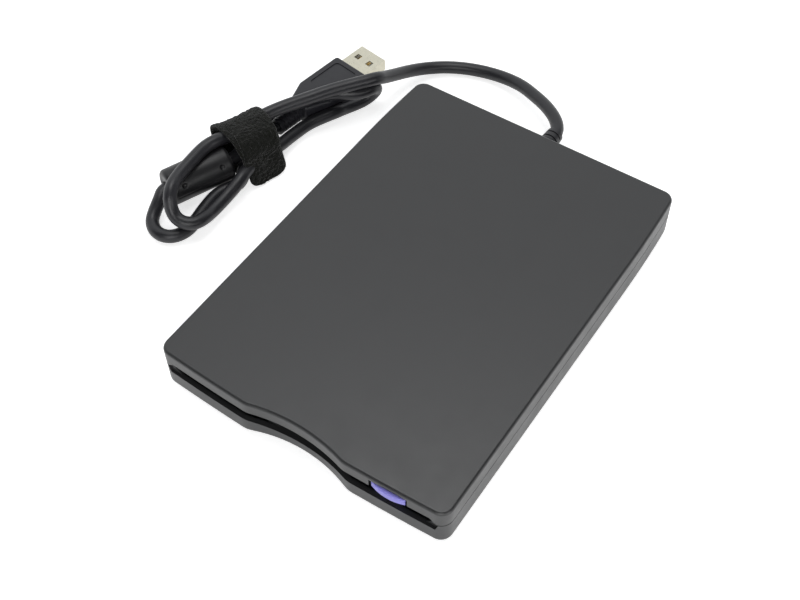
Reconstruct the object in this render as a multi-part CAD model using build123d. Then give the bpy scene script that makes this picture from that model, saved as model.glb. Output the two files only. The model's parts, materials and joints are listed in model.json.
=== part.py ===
"""External 3.5 inch floppy disk drive with its captive USB cord.

Frame: origin under the middle of the case on the surface it stands on, +X to the
right seen from the front, +Y to the rear, +Z up, front at -Y. All sizes are in mm.
"""
from build123d import *
from math import atan2, degrees, hypot, radians, tan
import os

OUT = "parts"

# ---------------------------------------------------------------- the disk it takes
DISK_W = 90.0            # standard disk shell, across
DISK_L = 94.0            # along the insertion direction
DISK_T = 3.3             # thickness
DISK_DROP = 2.0          # travel from the loading height to the seated height
TRACK_OUTER_R = 39.5     # radius of the outermost track
TRACK_INNER_R = 23.7     # radius of the innermost track

# ---------------------------------------------------------------- widths, from the disk out
DISK_SIDE_GAP = 0.3      # each side of the disk in its holder
SHEET_T = 0.5            # holder and slide sheet
HOLDER_GAP = 0.4         # holder to slide
SLIDE_GAP = 0.5          # slide to chassis
CHASSIS_T = 0.8
CHASSIS_ROOM = 1.9       # chassis to the case's side walls
WALL = 1.6               # side, front and rear walls of the case
BAY_HALF_W = DISK_W / 2 + DISK_SIDE_GAP
HOLDER_HALF_W = BAY_HALF_W + SHEET_T
SLIDE_WALL_X = HOLDER_HALF_W + HOLDER_GAP
SLIDE_HALF_W = SLIDE_WALL_X + SHEET_T
CHASSIS_INNER_X = SLIDE_HALF_W + SLIDE_GAP
CHASSIS_HALF_W = CHASSIS_INNER_X + CHASSIS_T
CASE_W = 2 * (CHASSIS_HALF_W + CHASSIS_ROOM + WALL)

# ---------------------------------------------------------------- heights, from the surface up
FOOT_H = 0.8             # feet stand this far below the lower cover
FLOOR_T = 1.4            # bottom wall
BOARD_RAISE = 0.6        # drive boards above the floor
BOARD_T = 0.8
BASE_RAISE = 1.0         # chassis base above the boards
DISK_RAISE = 1.3         # seated disk above the chassis base
DISK_TOP_GAP = 0.3       # over the disk in its holder
SLIDE_RAISE = 0.4        # slide above the holder
SHIELD_RAISE = 0.8       # shield above the slide
SHIELD_T = 0.3
ROOF_ROOM = 1.1          # shield to the roof
ROOF_T = 1.6             # top wall
FLOOR_TOP = FOOT_H + FLOOR_T
BOARD_Z = FLOOR_TOP + BOARD_RAISE
BOARD_TOP = BOARD_Z + BOARD_T
CHASSIS_Z = BOARD_TOP + BASE_RAISE
BASE_TOP = CHASSIS_Z + CHASSIS_T
DISK_Z = BASE_TOP + DISK_RAISE + DISK_DROP
HOLDER_FLOOR_Z = DISK_Z - 0.1
HOLDER_ROOF_Z = DISK_Z + DISK_T + DISK_TOP_GAP
SLIDE_Z = HOLDER_ROOF_Z + SHEET_T + SLIDE_RAISE
CHASSIS_TOP = SLIDE_Z + SHEET_T + SHIELD_RAISE
ROOF_Z = CHASSIS_TOP + SHIELD_T + ROOF_ROOM
CASE_H = ROOF_Z + ROOF_T

# ---------------------------------------------------------------- lengths, from the front back
FRONT_ROOM = 4.6         # front shoulders to the loaded disk
HEAD_TO_END = 40.5       # outermost track to the rear of the chassis
REAR_ROOM = 11.6         # behind the chassis: interface board and cord entry
CASE_D = FRONT_ROOM + DISK_L / 2 + TRACK_OUTER_R + HEAD_TO_END + REAR_ROOM
SHOULDER_Y = -CASE_D / 2
REAR_Y = CASE_D / 2
SPINDLE_Y = SHOULDER_Y + FRONT_ROOM + DISK_L / 2
HEAD_Y = SPINDLE_Y + TRACK_OUTER_R
HEAD_TRAVEL = TRACK_OUTER_R - TRACK_INNER_R
CHASSIS_Y1 = HEAD_Y + HEAD_TO_END

# ---------------------------------------------------------------- case
FRONT_BOW = 1.6          # the front bulges this much between its corners
SHOULDER_DROP = 0.22     # the scoop's shoulders stand this far behind the bow's crown
FRONT_CORNER_R = 4.0
REAR_CORNER_R = 4.0
SIDE_EASE = 1.2          # each side wall leans in this much towards the rear
EASE_RUN = 33.6          # over this length
LOWER_EDGE_R = 2.2       # round along the bottom edge
UPPER_EDGE_R = 1.0       # round along the top edge
LIP_T = 0.7              # tongue on the lower cover that locates the upper one
LIP_H = 1.0
LIP_GAP = 0.1
ROOT = 0.5               # how deep posts and studs are rooted in a wall
SEAM_RAISE = 1.9         # joint line above the disk's underside
SEAM_GROOVE_H = 0.35     # shadow groove along the joint line, in the upper cover
SEAM_GROOVE_D = 0.3
SEAM_Z = DISK_Z + SEAM_RAISE
FRONT_Y = SHOULDER_Y - SHOULDER_DROP
EASE_START_Y = REAR_Y - EASE_RUN

# thumb scoop in the middle of the front
SCOOP_BLEND_R = 8.0
LOWER_SCOOP_R = 48.0
LOWER_SCOOP_DEPTH = 3.7
UPPER_SCOOP_R = 60.0
UPPER_SCOOP_DEPTH = 2.5
SCOOP_DIP = 2.0          # the slot's sill drops this much in the scoop
SCOOP_DIP_HALF_W = 19.0
RAMP_HALF_W = 13.0       # thumb ramp behind the dipped sill
RAMP_START = 0.2         # it starts this far inside the scoop's wall
RAMP_RUN = 2.9
RAMP_T = 1.1

# disk slot through the front
SLOT_MARGIN = 0.9        # above and below the disk
SLOT_SIDE_MARGIN = 2.3   # beside the disk, to the points of the bevelled ends
SLOT_END_RUN = 2.8       # length of the bevelled ends
SLOT_DEPTH = 2.4         # the cut reaches this far past the scoop
SLOT_EAR = 1.6           # shallow recess past each point
SLOT_EAR_RUN = 0.9       # length of its lower bevel
SLOT_EAR_DEPTH = 2.3     # how far behind the front's middle it reaches
OVERCUT = 2.0            # cutters start this far outside the face they cut
SLOT_SILL_Z = DISK_Z - SLOT_MARGIN
SLOT_HEAD_Z = DISK_Z + DISK_T + SLOT_MARGIN
SLOT_HALF_W = DISK_W / 2 + SLOT_SIDE_MARGIN

# ---------------------------------------------------------------- eject button
BUTTON_INSET = 13.2      # its right end, in from the case's side
BUTTON_W = 11.4
BUTTON_BELOW = 0.15      # it reaches this far below the slot's head
BUTTON_LID = 2.1         # top of the button below the top of the case
BUTTON_BULGE = 0.95      # its lens stands this far in front of the front wall
BUTTON_GAP = 0.6         # at its ends, in the notch
BUTTON_TOP_GAP = 0.55    # over it
BUTTON_DEPTH = 4.2
BUTTON_EDGE_R = 0.4
BUTTON_END_SET = 0.12    # the lens's ends, behind the front wall
BUTTON_LENS_T = 0.6      # thickness of the lens at its ends
BUTTON_NECK_IN = 0.7     # the neck behind it is this much smaller
EJECT_TRAVEL = 4.5       # the button stands out this much further with a disk loaded
BUTTON_X1 = CASE_W / 2 - BUTTON_INSET
BUTTON_X0 = BUTTON_X1 - BUTTON_W
BUTTON_MID_X = (BUTTON_X0 + BUTTON_X1) / 2
BUTTON_Z0 = SLOT_HEAD_Z - BUTTON_BELOW
BUTTON_Z1 = CASE_H - BUTTON_LID
BUTTON_WALL_Y = FRONT_Y + FRONT_BOW * (2 * BUTTON_MID_X / CASE_W) ** 2
BUTTON_BACK_Y = BUTTON_WALL_Y + BUTTON_DEPTH

# ---------------------------------------------------------------- feet, posts and case screws
FOOT_R = 4.2
FOOT_SEAT_GAP = 0.1
FOOT_EDGE_R = 0.35
FOOT_RECESS = 0.5
FOOT_SIDE_SET = 11.5     # feet in from the case's sides
FOOT_END_SET = 14.6      # and from its ends
FRONT_POST_SET = (3.9, 5.4)  # posts in from a side and from the front shoulders
REAR_POST_SET = (5.5, 5.8)   # and from a side and the rear
FOOT_X = CASE_W / 2 - FOOT_SIDE_SET
FOOT_Y = CASE_D / 2 - FOOT_END_SET
FRONT_POST = (CASE_W / 2 - FRONT_POST_SET[0], SHOULDER_Y + FRONT_POST_SET[1])
REAR_POST = (CASE_W / 2 - REAR_POST_SET[0], REAR_Y - REAR_POST_SET[1])
FRONT_POST_R = 1.9
REAR_POST_R = 2.4
SCREW_R = 0.85           # shank of the case screws
SCREW_HOLE_R = 1.15
SCREW_HEAD_R = 1.7
SCREW_HEAD_H = 1.0
SCREW_SINK_R = 1.9       # counterbore for the head
SCREW_SINK = 0.2         # head below the cover's face
SCREW_TIP_GAP = 1.9      # tip of the screw below the roof
CROSS_R = 1.1            # cross recess, half its span
CROSS_T = 0.4
CROSS_DEPTH = 0.5
LABEL_W = 62.0           # blank rating label under the drive
LABEL_D = 34.0
LABEL_T = 0.15
LABEL_RECESS = 0.25
LABEL_CORNER_R = 2.0
LABEL_GAP = 0.2

# ---------------------------------------------------------------- drive chassis
SCOOP_ROOM = 2.8         # scoop's wall to the chassis
SHIELD_GAP = 0.05
SHIELD_FLANGE = 3.5      # depth of the shield's side flanges
SHIELD_SET = 2.0         # its front edge behind the chassis's
SHIELD_REAR_SET = 1.0
SHIELD_WINDOW = (18.0, 40.0)
SHIELD_WINDOW_X = 22.0
REAR_WALL_DROP = 2.5     # rear of the chassis's side walls, below their top
POST_HOLE_GAP = 0.4
STUD_R = 2.2
STUD_SCREW_R = 0.8
STUD_HEAD_R = 1.6
STUD_HEAD_H = 0.6
CHASSIS_Y0 = SHOULDER_Y + LOWER_SCOOP_DEPTH + WALL + SCOOP_ROOM
REAR_WALL_TOP = CHASSIS_TOP - REAR_WALL_DROP
FRONT_STUD_SET = (15.0, 5.0)  # studs in from the chassis's side and its front
REAR_STUD_SET = (4.0, 6.0)    # and from its side and its rear
FRONT_STUD = (CHASSIS_HALF_W - FRONT_STUD_SET[0], CHASSIS_Y0 + FRONT_STUD_SET[1])
REAR_STUD = (CHASSIS_HALF_W - REAR_STUD_SET[0], CHASSIS_Y1 - REAR_STUD_SET[1])

# ---------------------------------------------------------------- disk holder and slide
HOLDER_FLANGE = 2.5
HOLDER_SET = 0.5         # its front edge behind the chassis's
HOLDER_REAR_SET = 5.0    # its rear edge short of the disk's
HOLDER_PIN_R = 0.9
HOLDER_PIN_RAISE = 1.8   # pins above the holder's floor
HOLDER_PIN_TIP = 0.1     # pins end this far inside the chassis's outer face
HOLDER_WINDOW = (16.0, 26.0)
HOLDER_WINDOW_X = 27.0
HOLDER_WINDOW_BACK = 22.0  # middle of the windows behind the spindle
PIN_SLOT_GAP = 0.15      # each side of a pin in its slot
SLIDE_FOOT = 1.6         # lower edge of the slide's walls below the holder's floor
SLIDE_WINDOW = (76.0, 34.0)
SLIDE_WINDOW_FRONT = 11.0  # middle of the window in front of the spindle
SLIDE_WINDOW_R = 3.0
SLIDE_FORK_HALF_W = 38.0
SLIDE_FORK_BACK = 20.0   # the fork opens this far behind the spindle
SLIDE_TONGUE_HALF_W = 4.0
HEAD_WINDOW_HALF_W = 9.0
HEAD_WINDOW_REACH = 5.0  # the window's front past the innermost track
RUN_CLEAR = 0.3          # running clearance in front of the slide
HOLDER_PIN_SET = (17.0, 24.0)  # pins behind the holder's front, and before its rear
HOLDER_Y0 = CHASSIS_Y0 + HOLDER_SET
HOLDER_Y1 = SPINDLE_Y + DISK_L / 2 - HOLDER_REAR_SET
HOLDER_PIN_Y = (HOLDER_Y0 + HOLDER_PIN_SET[0], HOLDER_Y1 - HOLDER_PIN_SET[1])
HOLDER_PIN_Z = HOLDER_FLOOR_Z + HOLDER_PIN_RAISE
SLIDE_Y0 = FRONT_POST[1] + FRONT_POST_R + EJECT_TRAVEL + RUN_CLEAR
SLIDE_WALL_Z = HOLDER_FLOOR_Z - SLIDE_FOOT

# eject springs
SPRING_R = 1.65          # mean coil radius
SPRING_WIRE_R = 0.22
SPRING_L = 14.0
SPRING_TURNS = 6
SPRING_RAISE = 2.2       # axis above the chassis base
SPRING_SEAT = 2.2        # seats reach this far beside the axis
SPRING_SIDE_SET = 5.0    # axis in from the chassis's side
SPRING_STUD_ROOM = 6.0   # fixed end in front of the rear studs
SPRING_X = CHASSIS_HALF_W - SPRING_SIDE_SET
SPRING_Y1 = REAR_STUD[1] - SPRING_STUD_ROOM
SLIDE_Y1 = SPRING_Y1 - SPRING_L
SPRING_Z = BASE_TOP + SPRING_RAISE

# ---------------------------------------------------------------- spindle motor
ROTOR_HEAD_GAP = 2.5     # rotor's rim inside the innermost track
ROTOR_RAISE = 1.35       # rotor's underside above the motor board
ROTOR_T = 1.25
ROTOR_PLATE_T = 0.65
ROTOR_RIM_T = 0.8
ROTOR_RIM_DROP = 0.2
ROTOR_HOLES = 6
ROTOR_HOLE_ORBIT = 16.6
ROTOR_LIGHTEN_R = 2.4
ROTOR_ROOM = 2.0         # hole in the chassis round the rotor
MAGNET_INNER_R = 13.0
HUB_R = 11.5
HUB_RAISE = 2.0          # top of the hub above the chassis base
HUB_EDGE = 0.3
SPINDLE_R = 2.0
SPINDLE_NOSE = 0.55      # shaft above the hub
SPINDLE_HOLE_GAP = 0.6
BOSS_T = 1.2
BEARING_R = 5.0
BEARING_GAP = 0.15
DRIVE_PIN_R = 1.2
DRIVE_PIN_ORBIT = 8.5
RUNNING_GAP = 0.05       # radial, between a shaft and its bearing
COIL_COUNT = 12
COIL_ORBIT = 16.5
COIL_R = (3.6, 2.9)
COIL_BORE_R = (1.6, 1.0)
COIL_T = 1.1
ROTOR_R = TRACK_INNER_R - ROTOR_HEAD_GAP
ROTOR_Z = BOARD_TOP + ROTOR_RAISE
ROTOR_TOP = ROTOR_Z + ROTOR_T
HUB_TOP = BASE_TOP + HUB_RAISE
SPINDLE_TOP = HUB_TOP + SPINDLE_NOSE
MOTOR_STRIP_D = 18.5     # front strip of the motor board
MOTOR_TAB_HALF_W = 34.0
MOTOR_TAB_REACH = 28.0   # behind the spindle
BOARD_SIDE_SET = 2.0     # boards inside the chassis's sides
BOARD_END_SET = 1.0

# switches under the disk
SWITCH_W = 5.0
SWITCH_CORNER_R = 0.5
SWITCH_H = 2.1
SWITCH_HOLE = 6.0        # square hole in the chassis
PLUNGER_R = 0.9
PLUNGER_NOSE_R = 0.5
PLUNGER_SEAT = 0.6
PLUNGER_TRAVEL = 1.2
SWITCH_TOP = BOARD_TOP + SWITCH_H
PLUNGER_TOP = DISK_Z - DISK_DROP + PLUNGER_TRAVEL
SWITCH_SIDE_SET = 7.0    # switches in from the chassis's side
SWITCH_ROWS = (6.0, 14.5)  # rows of switches behind the chassis's front
SWITCH_X = CHASSIS_HALF_W - SWITCH_SIDE_SET
SWITCH_SPOTS = (
    (-SWITCH_X, CHASSIS_Y0 + SWITCH_ROWS[0]),
    (SWITCH_X, CHASSIS_Y0 + SWITCH_ROWS[0]),
    (SWITCH_X, CHASSIS_Y0 + SWITCH_ROWS[1]),
)

# ---------------------------------------------------------------- head carriage
ARM_HALF_W = 4.0
ARM_NOSE = 2.1           # arm ahead of the head
ARM_DROP = 0.2           # arm below the chassis base
ARM_THICK = 1.9
ARM_ROOM = 1.2           # each side of the arm in the chassis's window
CARRIAGE_BACK = 24.5     # front of the carriage behind the head
CARRIAGE_D = 12.0
CARRIAGE_HALF_W = 9.0
CARRIAGE_RAISE = 0.3
CARRIAGE_H = 3.5
HEAD_PEDESTAL = 1.8
HEAD_W = 3.2
HEAD_L = 3.6
HEAD_CORNER_R = 0.4
HEAD_EDGE_R = 0.2
HEAD_T = 0.8
UPPER_HEAD_T = 1.2
HEAD_TIP_RAISE = 2.85    # top of the lower head above the chassis base
GUIDE_X = -7.0
GUIDE_R = 1.5
GUIDE_CHEEK = 2.8        # material beside the guide rod
GUIDE_RAISE = 2.0
GUIDE_CLIP_H = 4.2
GUIDE_CLIP_T = 1.2
GUIDE_END = 0.4          # rod past its front clip
PIVOT_SET = 6.5          # arm pivot behind the carriage's front
PIVOT_RAISE = 4.6
PIVOT_R = 0.7
EAR_R = 1.6
EAR_T = 1.0
PIN_HALF_L = 5.2
ARM_LIFT_DEG = 7.0       # upper arm angle while no disk is loaded
ARM_T = 0.7
ARM_TIP_HALF_W = 2.4
ARM_ROOT_HALF_W = 3.6
ARM_HUB_R = 1.3
ARM_TAPER_RUN = 9.0
CARRIAGE_Y0 = HEAD_Y + CARRIAGE_BACK
CARRIAGE_Y1 = CARRIAGE_Y0 + CARRIAGE_D
CARRIAGE_Z0 = BASE_TOP + CARRIAGE_RAISE
CARRIAGE_TOP = CARRIAGE_Z0 + CARRIAGE_H
HEAD_TIP_Z = BASE_TOP + HEAD_TIP_RAISE
GUIDE_Z = BASE_TOP + GUIDE_RAISE
ARM_PIVOT_Y = CARRIAGE_Y0 + PIVOT_SET
ARM_PIVOT_Z = BASE_TOP + PIVOT_RAISE

# stepper and its screw
SCREW_X = 18.0
SCREW_RAISE = 4.4
LEAD_R = 1.2
LEAD_JOURNAL_R = 0.8
FOLLOWER_D = 3.0
FOLLOWER_HALF_H = 2.0
FOLLOWER_LIP = 2.2
STEPPER_R = 4.3
STEPPER_L = 8.0
STEPPER_EDGE_R = 0.5
STEPPER_SET = 6.6        # its front face behind the carriage's front
BRACKET_HALF_W = 3.0
BRACKET_EAR_HALF_W = 5.0
BRACKET_BASE_T = 0.6
BRACKET_EAR_T = 0.8
BRACKET_ROOM = 2.0       # carriage to the bracket at the innermost track
SCREW_Z = BASE_TOP + SCREW_RAISE
STEPPER_Y0 = CARRIAGE_Y0 + STEPPER_SET
STEPPER_Y1 = STEPPER_Y0 + STEPPER_L
BRACKET_Y0 = CARRIAGE_Y0 - HEAD_TRAVEL - BRACKET_ROOM

# latch lever
LATCH_LENGTH = 26.0
LATCH_PIN_R = 1.5
LATCH_T = 0.8
LATCH_RAISE = 4.6        # lever above the chassis base
LATCH_ROOT_HALF_W = 3.0
LATCH_TIP_R = 1.5
LATCH_BOSS_R = 3.2
LATCH_TAIL = 8.6
LATCH_TAIL_W = 3.0
LATCH_SIDE_SET = 14.0    # pivot in from the chassis's side
LATCH_X = -(CHASSIS_HALF_W - LATCH_SIDE_SET)
LATCH_Y = CARRIAGE_Y0
LATCH_Z = BASE_TOP + LATCH_RAISE
LATCH_SPRING_R = 2.2
LATCH_WIRE_R = 0.18
LATCH_SPRING_H = 2.4
LATCH_SPRING_PITCH = 0.6

# ---------------------------------------------------------------- rear boards
MAIN_BOARD_SET = 4.0     # gap between the drive's two boards
CHIP_T = 0.7
BIG_CHIP = 10.0
MID_CHIP = 7.0
SMALL_CHIP = (5.0, 4.0)
PASSIVE = (1.6, 0.9)
PASSIVE_PITCH = 3.0
USB_BOARD_SET = 1.6      # behind the chassis
USB_BOARD_REAR = 2.4     # in front of the rear face
USB_BOARD_SIDE = 11.5    # inside the case's sides
USB_BOARD_RAISE = 1.4    # above the floor
USB_BOARD_T = 1.0
USB_STUD_X = 30.0
USB_STUD_SET = 4.6
USB_SCREW_HEAD_R = 1.5
USB_SCREW_HEAD_H = 0.9
BRIDGE_CHIP_W = 6.4
BRIDGE_CHIP_T = 1.2
CRYSTAL = (9.0, 3.6)
CRYSTAL_R = 1.7
CRYSTAL_T = 3.2
SOCKET_X = 20.0
SOCKET_W = 8.0
SOCKET_D = 3.8
SOCKET_H = 3.0
SOCKET_WALL = 0.8
SOCKET_BASE_T = 0.6
RIBBON_W = 13.0
RIBBON_SIDE_SET = 10.0   # in from the chassis's side
RIBBON_X = (RIBBON_SIDE_SET - CHASSIS_HALF_W, RIBBON_SIDE_SET - CHASSIS_HALF_W + RIBBON_W)
RIBBON_T = 0.25
RIBBON_LIFT = 0.02       # above the boards
RIBBON_LAP = 4.5         # over the drive's board
RIBBON_REAR_LAP = 2.4    # over the interface board
WIRE_R = 0.3
WIRE_PITCH = 1.4
WIRE_BEND_R = 0.9
USB_BOARD_Y0 = CHASSIS_Y1 + USB_BOARD_SET
USB_BOARD_Y1 = REAR_Y - USB_BOARD_REAR
USB_BOARD_MID_Y = (USB_BOARD_Y0 + USB_BOARD_Y1) / 2
USB_BOARD_Z = FLOOR_TOP + USB_BOARD_RAISE
USB_BOARD_TOP = USB_BOARD_Z + USB_BOARD_T
USB_BOARD_HALF_W = CASE_W / 2 - USB_BOARD_SIDE
USB_STUD_Y = REAR_Y - USB_STUD_SET

# ---------------------------------------------------------------- cord, hank and plug
CORD_R = 2.35
GLAND_NECK_R = 3.1
GLAND_FLANGE_R = 4.2
GLAND_FLANGE_T = 1.2
GLAND_BODY_R = 3.6
GLAND_TIP_R = 3.0
GLAND_REACH = 9.6        # outside the rear wall
GLAND_COLLAR = 1.6       # plain length before the ribs
GLAND_TIP = 1.0          # and after them
GLAND_RIBS = 6
GLAND_CORE = 0.45        # rubber left over the cord in a groove
GLAND_WEB = 0.7          # half the web beside a groove
GLAND_Z = SEAM_Z - 1.0
CORD_ROUTE = [           # x, distance behind the rear wall, height under the cord
    (-4.4, 21.8, 5.65),
    (-12.0, 26.4, 2.85),
    (-21.3, 29.8, 0.75),
    (-31.0, 31.6, 0.05),
    (-41.3, 31.1, 0.1),
    (-52.2, 26.8, 0.05),
    (-61.0, 19.3, 0.85),
    (-66.9, 9.9, 3.25),
    (-70.6, -0.1, 6.05),
]
CORD_FIRST_RUN = 6.6     # straight length out of the strain relief
FLOOR_GAP = 0.1          # what lies on the surface stands this far above it
HANK_LEFT_H = 17.6
HANK_RIGHT_H = 13.2
HANK_LEFT = [            # plan points, y behind the rear wall
    (-96.0, -49.0), (-98.0, -57.6), (-99.5, -69.6), (-104.5, -79.1), (-106.2, -88.6),
    (-103.4, -97.1), (-95.0, -102.6), (-86.0, -101.8), (-79.5, -95.6), (-76.4, -85.6),
    (-78.6, -73.6), (-79.6, -61.6), (-79.3, -49.0),
]
HANK_RIGHT = [
    (-96.9, -55.0), (-89.5, -27.6), (-83.0, -15.6), (-77.5, -5.6), (-72.8, 2.6),
    (-64.5, 1.8), (-62.8, -5.6), (-68.2, -15.6), (-73.4, -26.6), (-81.9, -55.0),
]
HANK_CORNER_R = 2.5
STRAP_AT = (-88.7, -52.5)
STRAP_TURN = 73.0        # direction of the tied strands, from +X
STRAP_W = 14.0
STRAP_T = 1.6
STRAP_INNER_W = 22.0
STRAP_INNER_H = 14.0
STRAP_TAIL = 5.0
STRAP_TAIL_R = 2.5
STRAP_CORNER_R = 4.5
FERRITE_R = 6.6
FERRITE_END_R = 1.2
FERRITE_BORE_GAP = 0.15
FERRITE_A = (-99.6, -84.2)
FERRITE_B = (-90.4, -62.2)
PLUG_FRONT = (-81.8, 0.8)
PLUG_TURN = 81.0         # direction the plug points in, from +X
PLUG_W = 15.4
PLUG_T = 8.2
PLUG_STRAIGHT = 19.5
PLUG_TAPER = 8.5
PLUG_NECK_W = 8.0
PLUG_CORNER_R = 1.3
PLUG_EDGE_R = 1.0
PLUG_RAISE = 0.2
PLUG_PANEL = 0.3         # depth of the grip panel
PLUG_PANEL_SET = 2.5     # in from the overmould's edges
PLUG_PANEL_R = 1.5
RELIEF_L = 11.0
RELIEF_R = 3.1
RELIEF_RIBS = 5
RELIEF_CORE = 0.35       # rubber left over the cord between the ribs
RELIEF_RIB_SHARE = 0.6   # of the rib pitch
USB_W = 12.0             # standard plug shell
USB_H = 4.5
USB_L = 11.75
USB_WALL = 0.32
USB_ROOT = 8.0           # length inside the overmould
USB_WINDOW = (2.4, 2.2)
USB_WINDOW_X = 6.4
USB_WINDOW_Y = 2.9
USB_TONGUE_T = 1.84
USB_TONGUE_W = 11.1
USB_TONGUE_GAP = 0.06
USB_TONGUE_SET = 0.7     # behind the shell's mouth
USB_CORE_L = 1.5         # filling past the overmould's face
USB_CONTACT_W = 1.0
USB_CONTACT_T = 0.12
USB_CONTACTS = ((-3.5, 9.6), (-1.0, 8.7), (1.0, 8.7), (3.5, 9.6))
PLUG_Z = PLUG_T / 2 + PLUG_RAISE


# ================================================================ small helpers
def slab(sketch, low, high):
    """Solid between two heights over a plan sketch."""
    return extrude(Pos(0, 0, low) * sketch, amount=high - low, dir=(0, 0, 1))


def rect(x0, x1, y0, y1):
    """Rectangle from its corners."""
    return Pos((x0 + x1) / 2, (y0 + y1) / 2) * Rectangle(x1 - x0, y1 - y0)


def block(x0, x1, y0, y1, z0, z1):
    """Square-edged plate or bar from its corners."""
    return slab(rect(x0, x1, y0, y1), z0, z1)


def disc(radius, x, y, z0, z1):
    """Upright cylinder."""
    return slab(Pos(x, y) * Circle(radius), z0, z1)


def tube(outer, inner, x, y, z0, z1):
    """Upright hollow cylinder."""
    return slab(Pos(x, y) * (Circle(outer) - Circle(inner)), z0, z1)


def along_y(profile, y0, y1):
    """Solid along Y with a profile given in X and Z."""
    return extrude(Plane.XZ.offset(-y0) * profile, amount=y1 - y0, dir=(0, 1, 0))


def along_x(profile, x0, x1):
    """Solid along X with a profile given in Y and Z."""
    return extrude(Plane.YZ.offset(x0) * profile, amount=x1 - x0, dir=(1, 0, 0))


def rod_y(radius, x, z, y0, y1):
    """Round bar along Y."""
    return along_y(Pos(x, z) * Circle(radius), y0, y1)


def rod_x(radius, y, z, x0, x1):
    """Round bar along X."""
    return along_x(Pos(y, z) * Circle(radius), x0, x1)


def outline(*points):
    """Closed face through corner points."""
    return make_face(Polyline(*points, close=True))


def both_sides(*points):
    """Each point (x, y) and its mirror image (-x, y)."""
    return [(side * x, y) for x, y in points for side in (1, -1)]


def span(side, near, far):
    """The pair of X values of a piece on one side of the middle, lower one first."""
    return sorted((side * near, side * far))


def round_corners(sketch, corners, radius):
    """Fillet the plan corners nearest to the given points."""
    picked = []
    for x, y in corners:
        picked.append(min(sketch.vertices(), key=lambda v: hypot(v.X - x, v.Y - y)))
    return fillet(picked, radius=radius)


def save(node, shape):
    """Write one sub-part as its own STEP file."""
    export_step(shape, f"{OUT}/{node}.step")


# ================================================================ case
def bow_y(x, inset):
    """Plan position of the bowed front at a distance from the middle."""
    radius = (CASE_W ** 2 / 4 + FRONT_BOW ** 2) / (2 * FRONT_BOW)
    return FRONT_Y + radius - ((radius - inset) ** 2 - x ** 2) ** 0.5


def side_x(y, inset):
    """Half width of the case where its sides ease in towards the rear."""
    radius = (EASE_RUN ** 2 + SIDE_EASE ** 2) / (2 * SIDE_EASE)
    return CASE_W / 2 - radius + ((radius - inset) ** 2 - (y - EASE_START_Y) ** 2) ** 0.5


def case_plan(scoop_r, scoop_depth, inset=0.0):
    """Plan of a cover, or of its inside at an inset: bowed front, scoop, eased sides."""
    half = CASE_W / 2 - inset
    rear = REAR_Y - inset
    middle = (EASE_START_Y + rear) / 2
    with BuildSketch() as plan:
        with BuildLine():
            front_y = bow_y(half, inset)
            ThreePointArc((-half, front_y), (0, FRONT_Y + inset), (half, front_y))
            for side in (1, -1):
                Line((side * half, front_y), (side * half, EASE_START_Y))
                eased = (side * side_x(middle, inset), middle)
                corner = (side * side_x(rear, inset), rear)
                ThreePointArc((side * half, EASE_START_Y), eased, corner)
            Line((side_x(rear, inset), rear), (-side_x(rear, inset), rear))
        make_face()
    scoop = Pos(0, SHOULDER_Y + scoop_depth - scoop_r) * Circle(scoop_r + inset)
    sketch = plan.sketch - scoop
    sketch = round_corners(sketch, both_sides((half, front_y)), FRONT_CORNER_R - inset)
    rear_corners = both_sides((side_x(rear, inset), rear))
    sketch = round_corners(sketch, rear_corners, REAR_CORNER_R - inset)
    shoulder_x = (scoop_r ** 2 - (scoop_r - scoop_depth) ** 2) ** 0.5
    return round_corners(sketch, both_sides((shoulder_x, SHOULDER_Y)), SCOOP_BLEND_R - inset)


def slot_cutter():
    """Flat hexagonal bar that opens the disk slot, with a shallow recess past each end."""
    tip = SLOT_HALF_W
    flat = SLOT_HALF_W - SLOT_END_RUN
    profile = outline(
        (-tip, SEAM_Z), (-flat, SLOT_SILL_Z), (flat, SLOT_SILL_Z),
        (tip, SEAM_Z), (flat, SLOT_HEAD_Z), (-flat, SLOT_HEAD_Z),
    )
    bar = along_y(profile, FRONT_Y - OVERCUT, FRONT_Y + LOWER_SCOOP_DEPTH + SLOT_DEPTH)
    for side in (1, -1):
        ear = outline(
            (side * (tip + SLOT_EAR), SEAM_Z), (side * (tip + SLOT_EAR - SLOT_EAR_RUN), SLOT_SILL_Z),
            (side * flat, SLOT_SILL_Z), (side * flat, SLOT_HEAD_Z),
            (side * (flat + SLOT_EAR), SLOT_HEAD_Z),
        )
        bar += along_y(ear, FRONT_Y - OVERCUT, FRONT_Y + SLOT_EAR_DEPTH)
    return bar


def scoop_dip():
    """Shallow round that lowers the sill in the scoop."""
    radius = (SCOOP_DIP_HALF_W ** 2 + SCOOP_DIP ** 2) / (2 * SCOOP_DIP)
    centre_z = SLOT_SILL_Z - SCOOP_DIP + radius
    back_y = FRONT_Y + LOWER_SCOOP_DEPTH + SLOT_DEPTH
    return rod_y(radius, 0, centre_z, FRONT_Y - OVERCUT, back_y)


def button_notch():
    """Opening for the eject button in the band above the slot."""
    profile = rect(
        BUTTON_X0 - BUTTON_GAP, BUTTON_X1 + BUTTON_GAP,
        SLOT_HEAD_Z - OVERCUT, BUTTON_Z1 + BUTTON_TOP_GAP,
    )
    return along_y(profile, FRONT_Y - OVERCUT, FRONT_Y + BUTTON_DEPTH)


def gland_hole():
    """Round hole through the rear wall for the cord's strain relief."""
    return rod_y(GLAND_NECK_R, 0, GLAND_Z, REAR_Y - WALL - OVERCUT, REAR_Y + OVERCUT)


def posts():
    """Plan position and radius of each case screw's post."""
    front = [(FRONT_POST_R, x, y) for x, y in both_sides(FRONT_POST)]
    return front + [(REAR_POST_R, x, y) for x, y in both_sides(REAR_POST)]


def foot_spots():
    """Plan positions of the four feet."""
    return both_sides((FOOT_X, FOOT_Y), (FOOT_X, -FOOT_Y))


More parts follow.
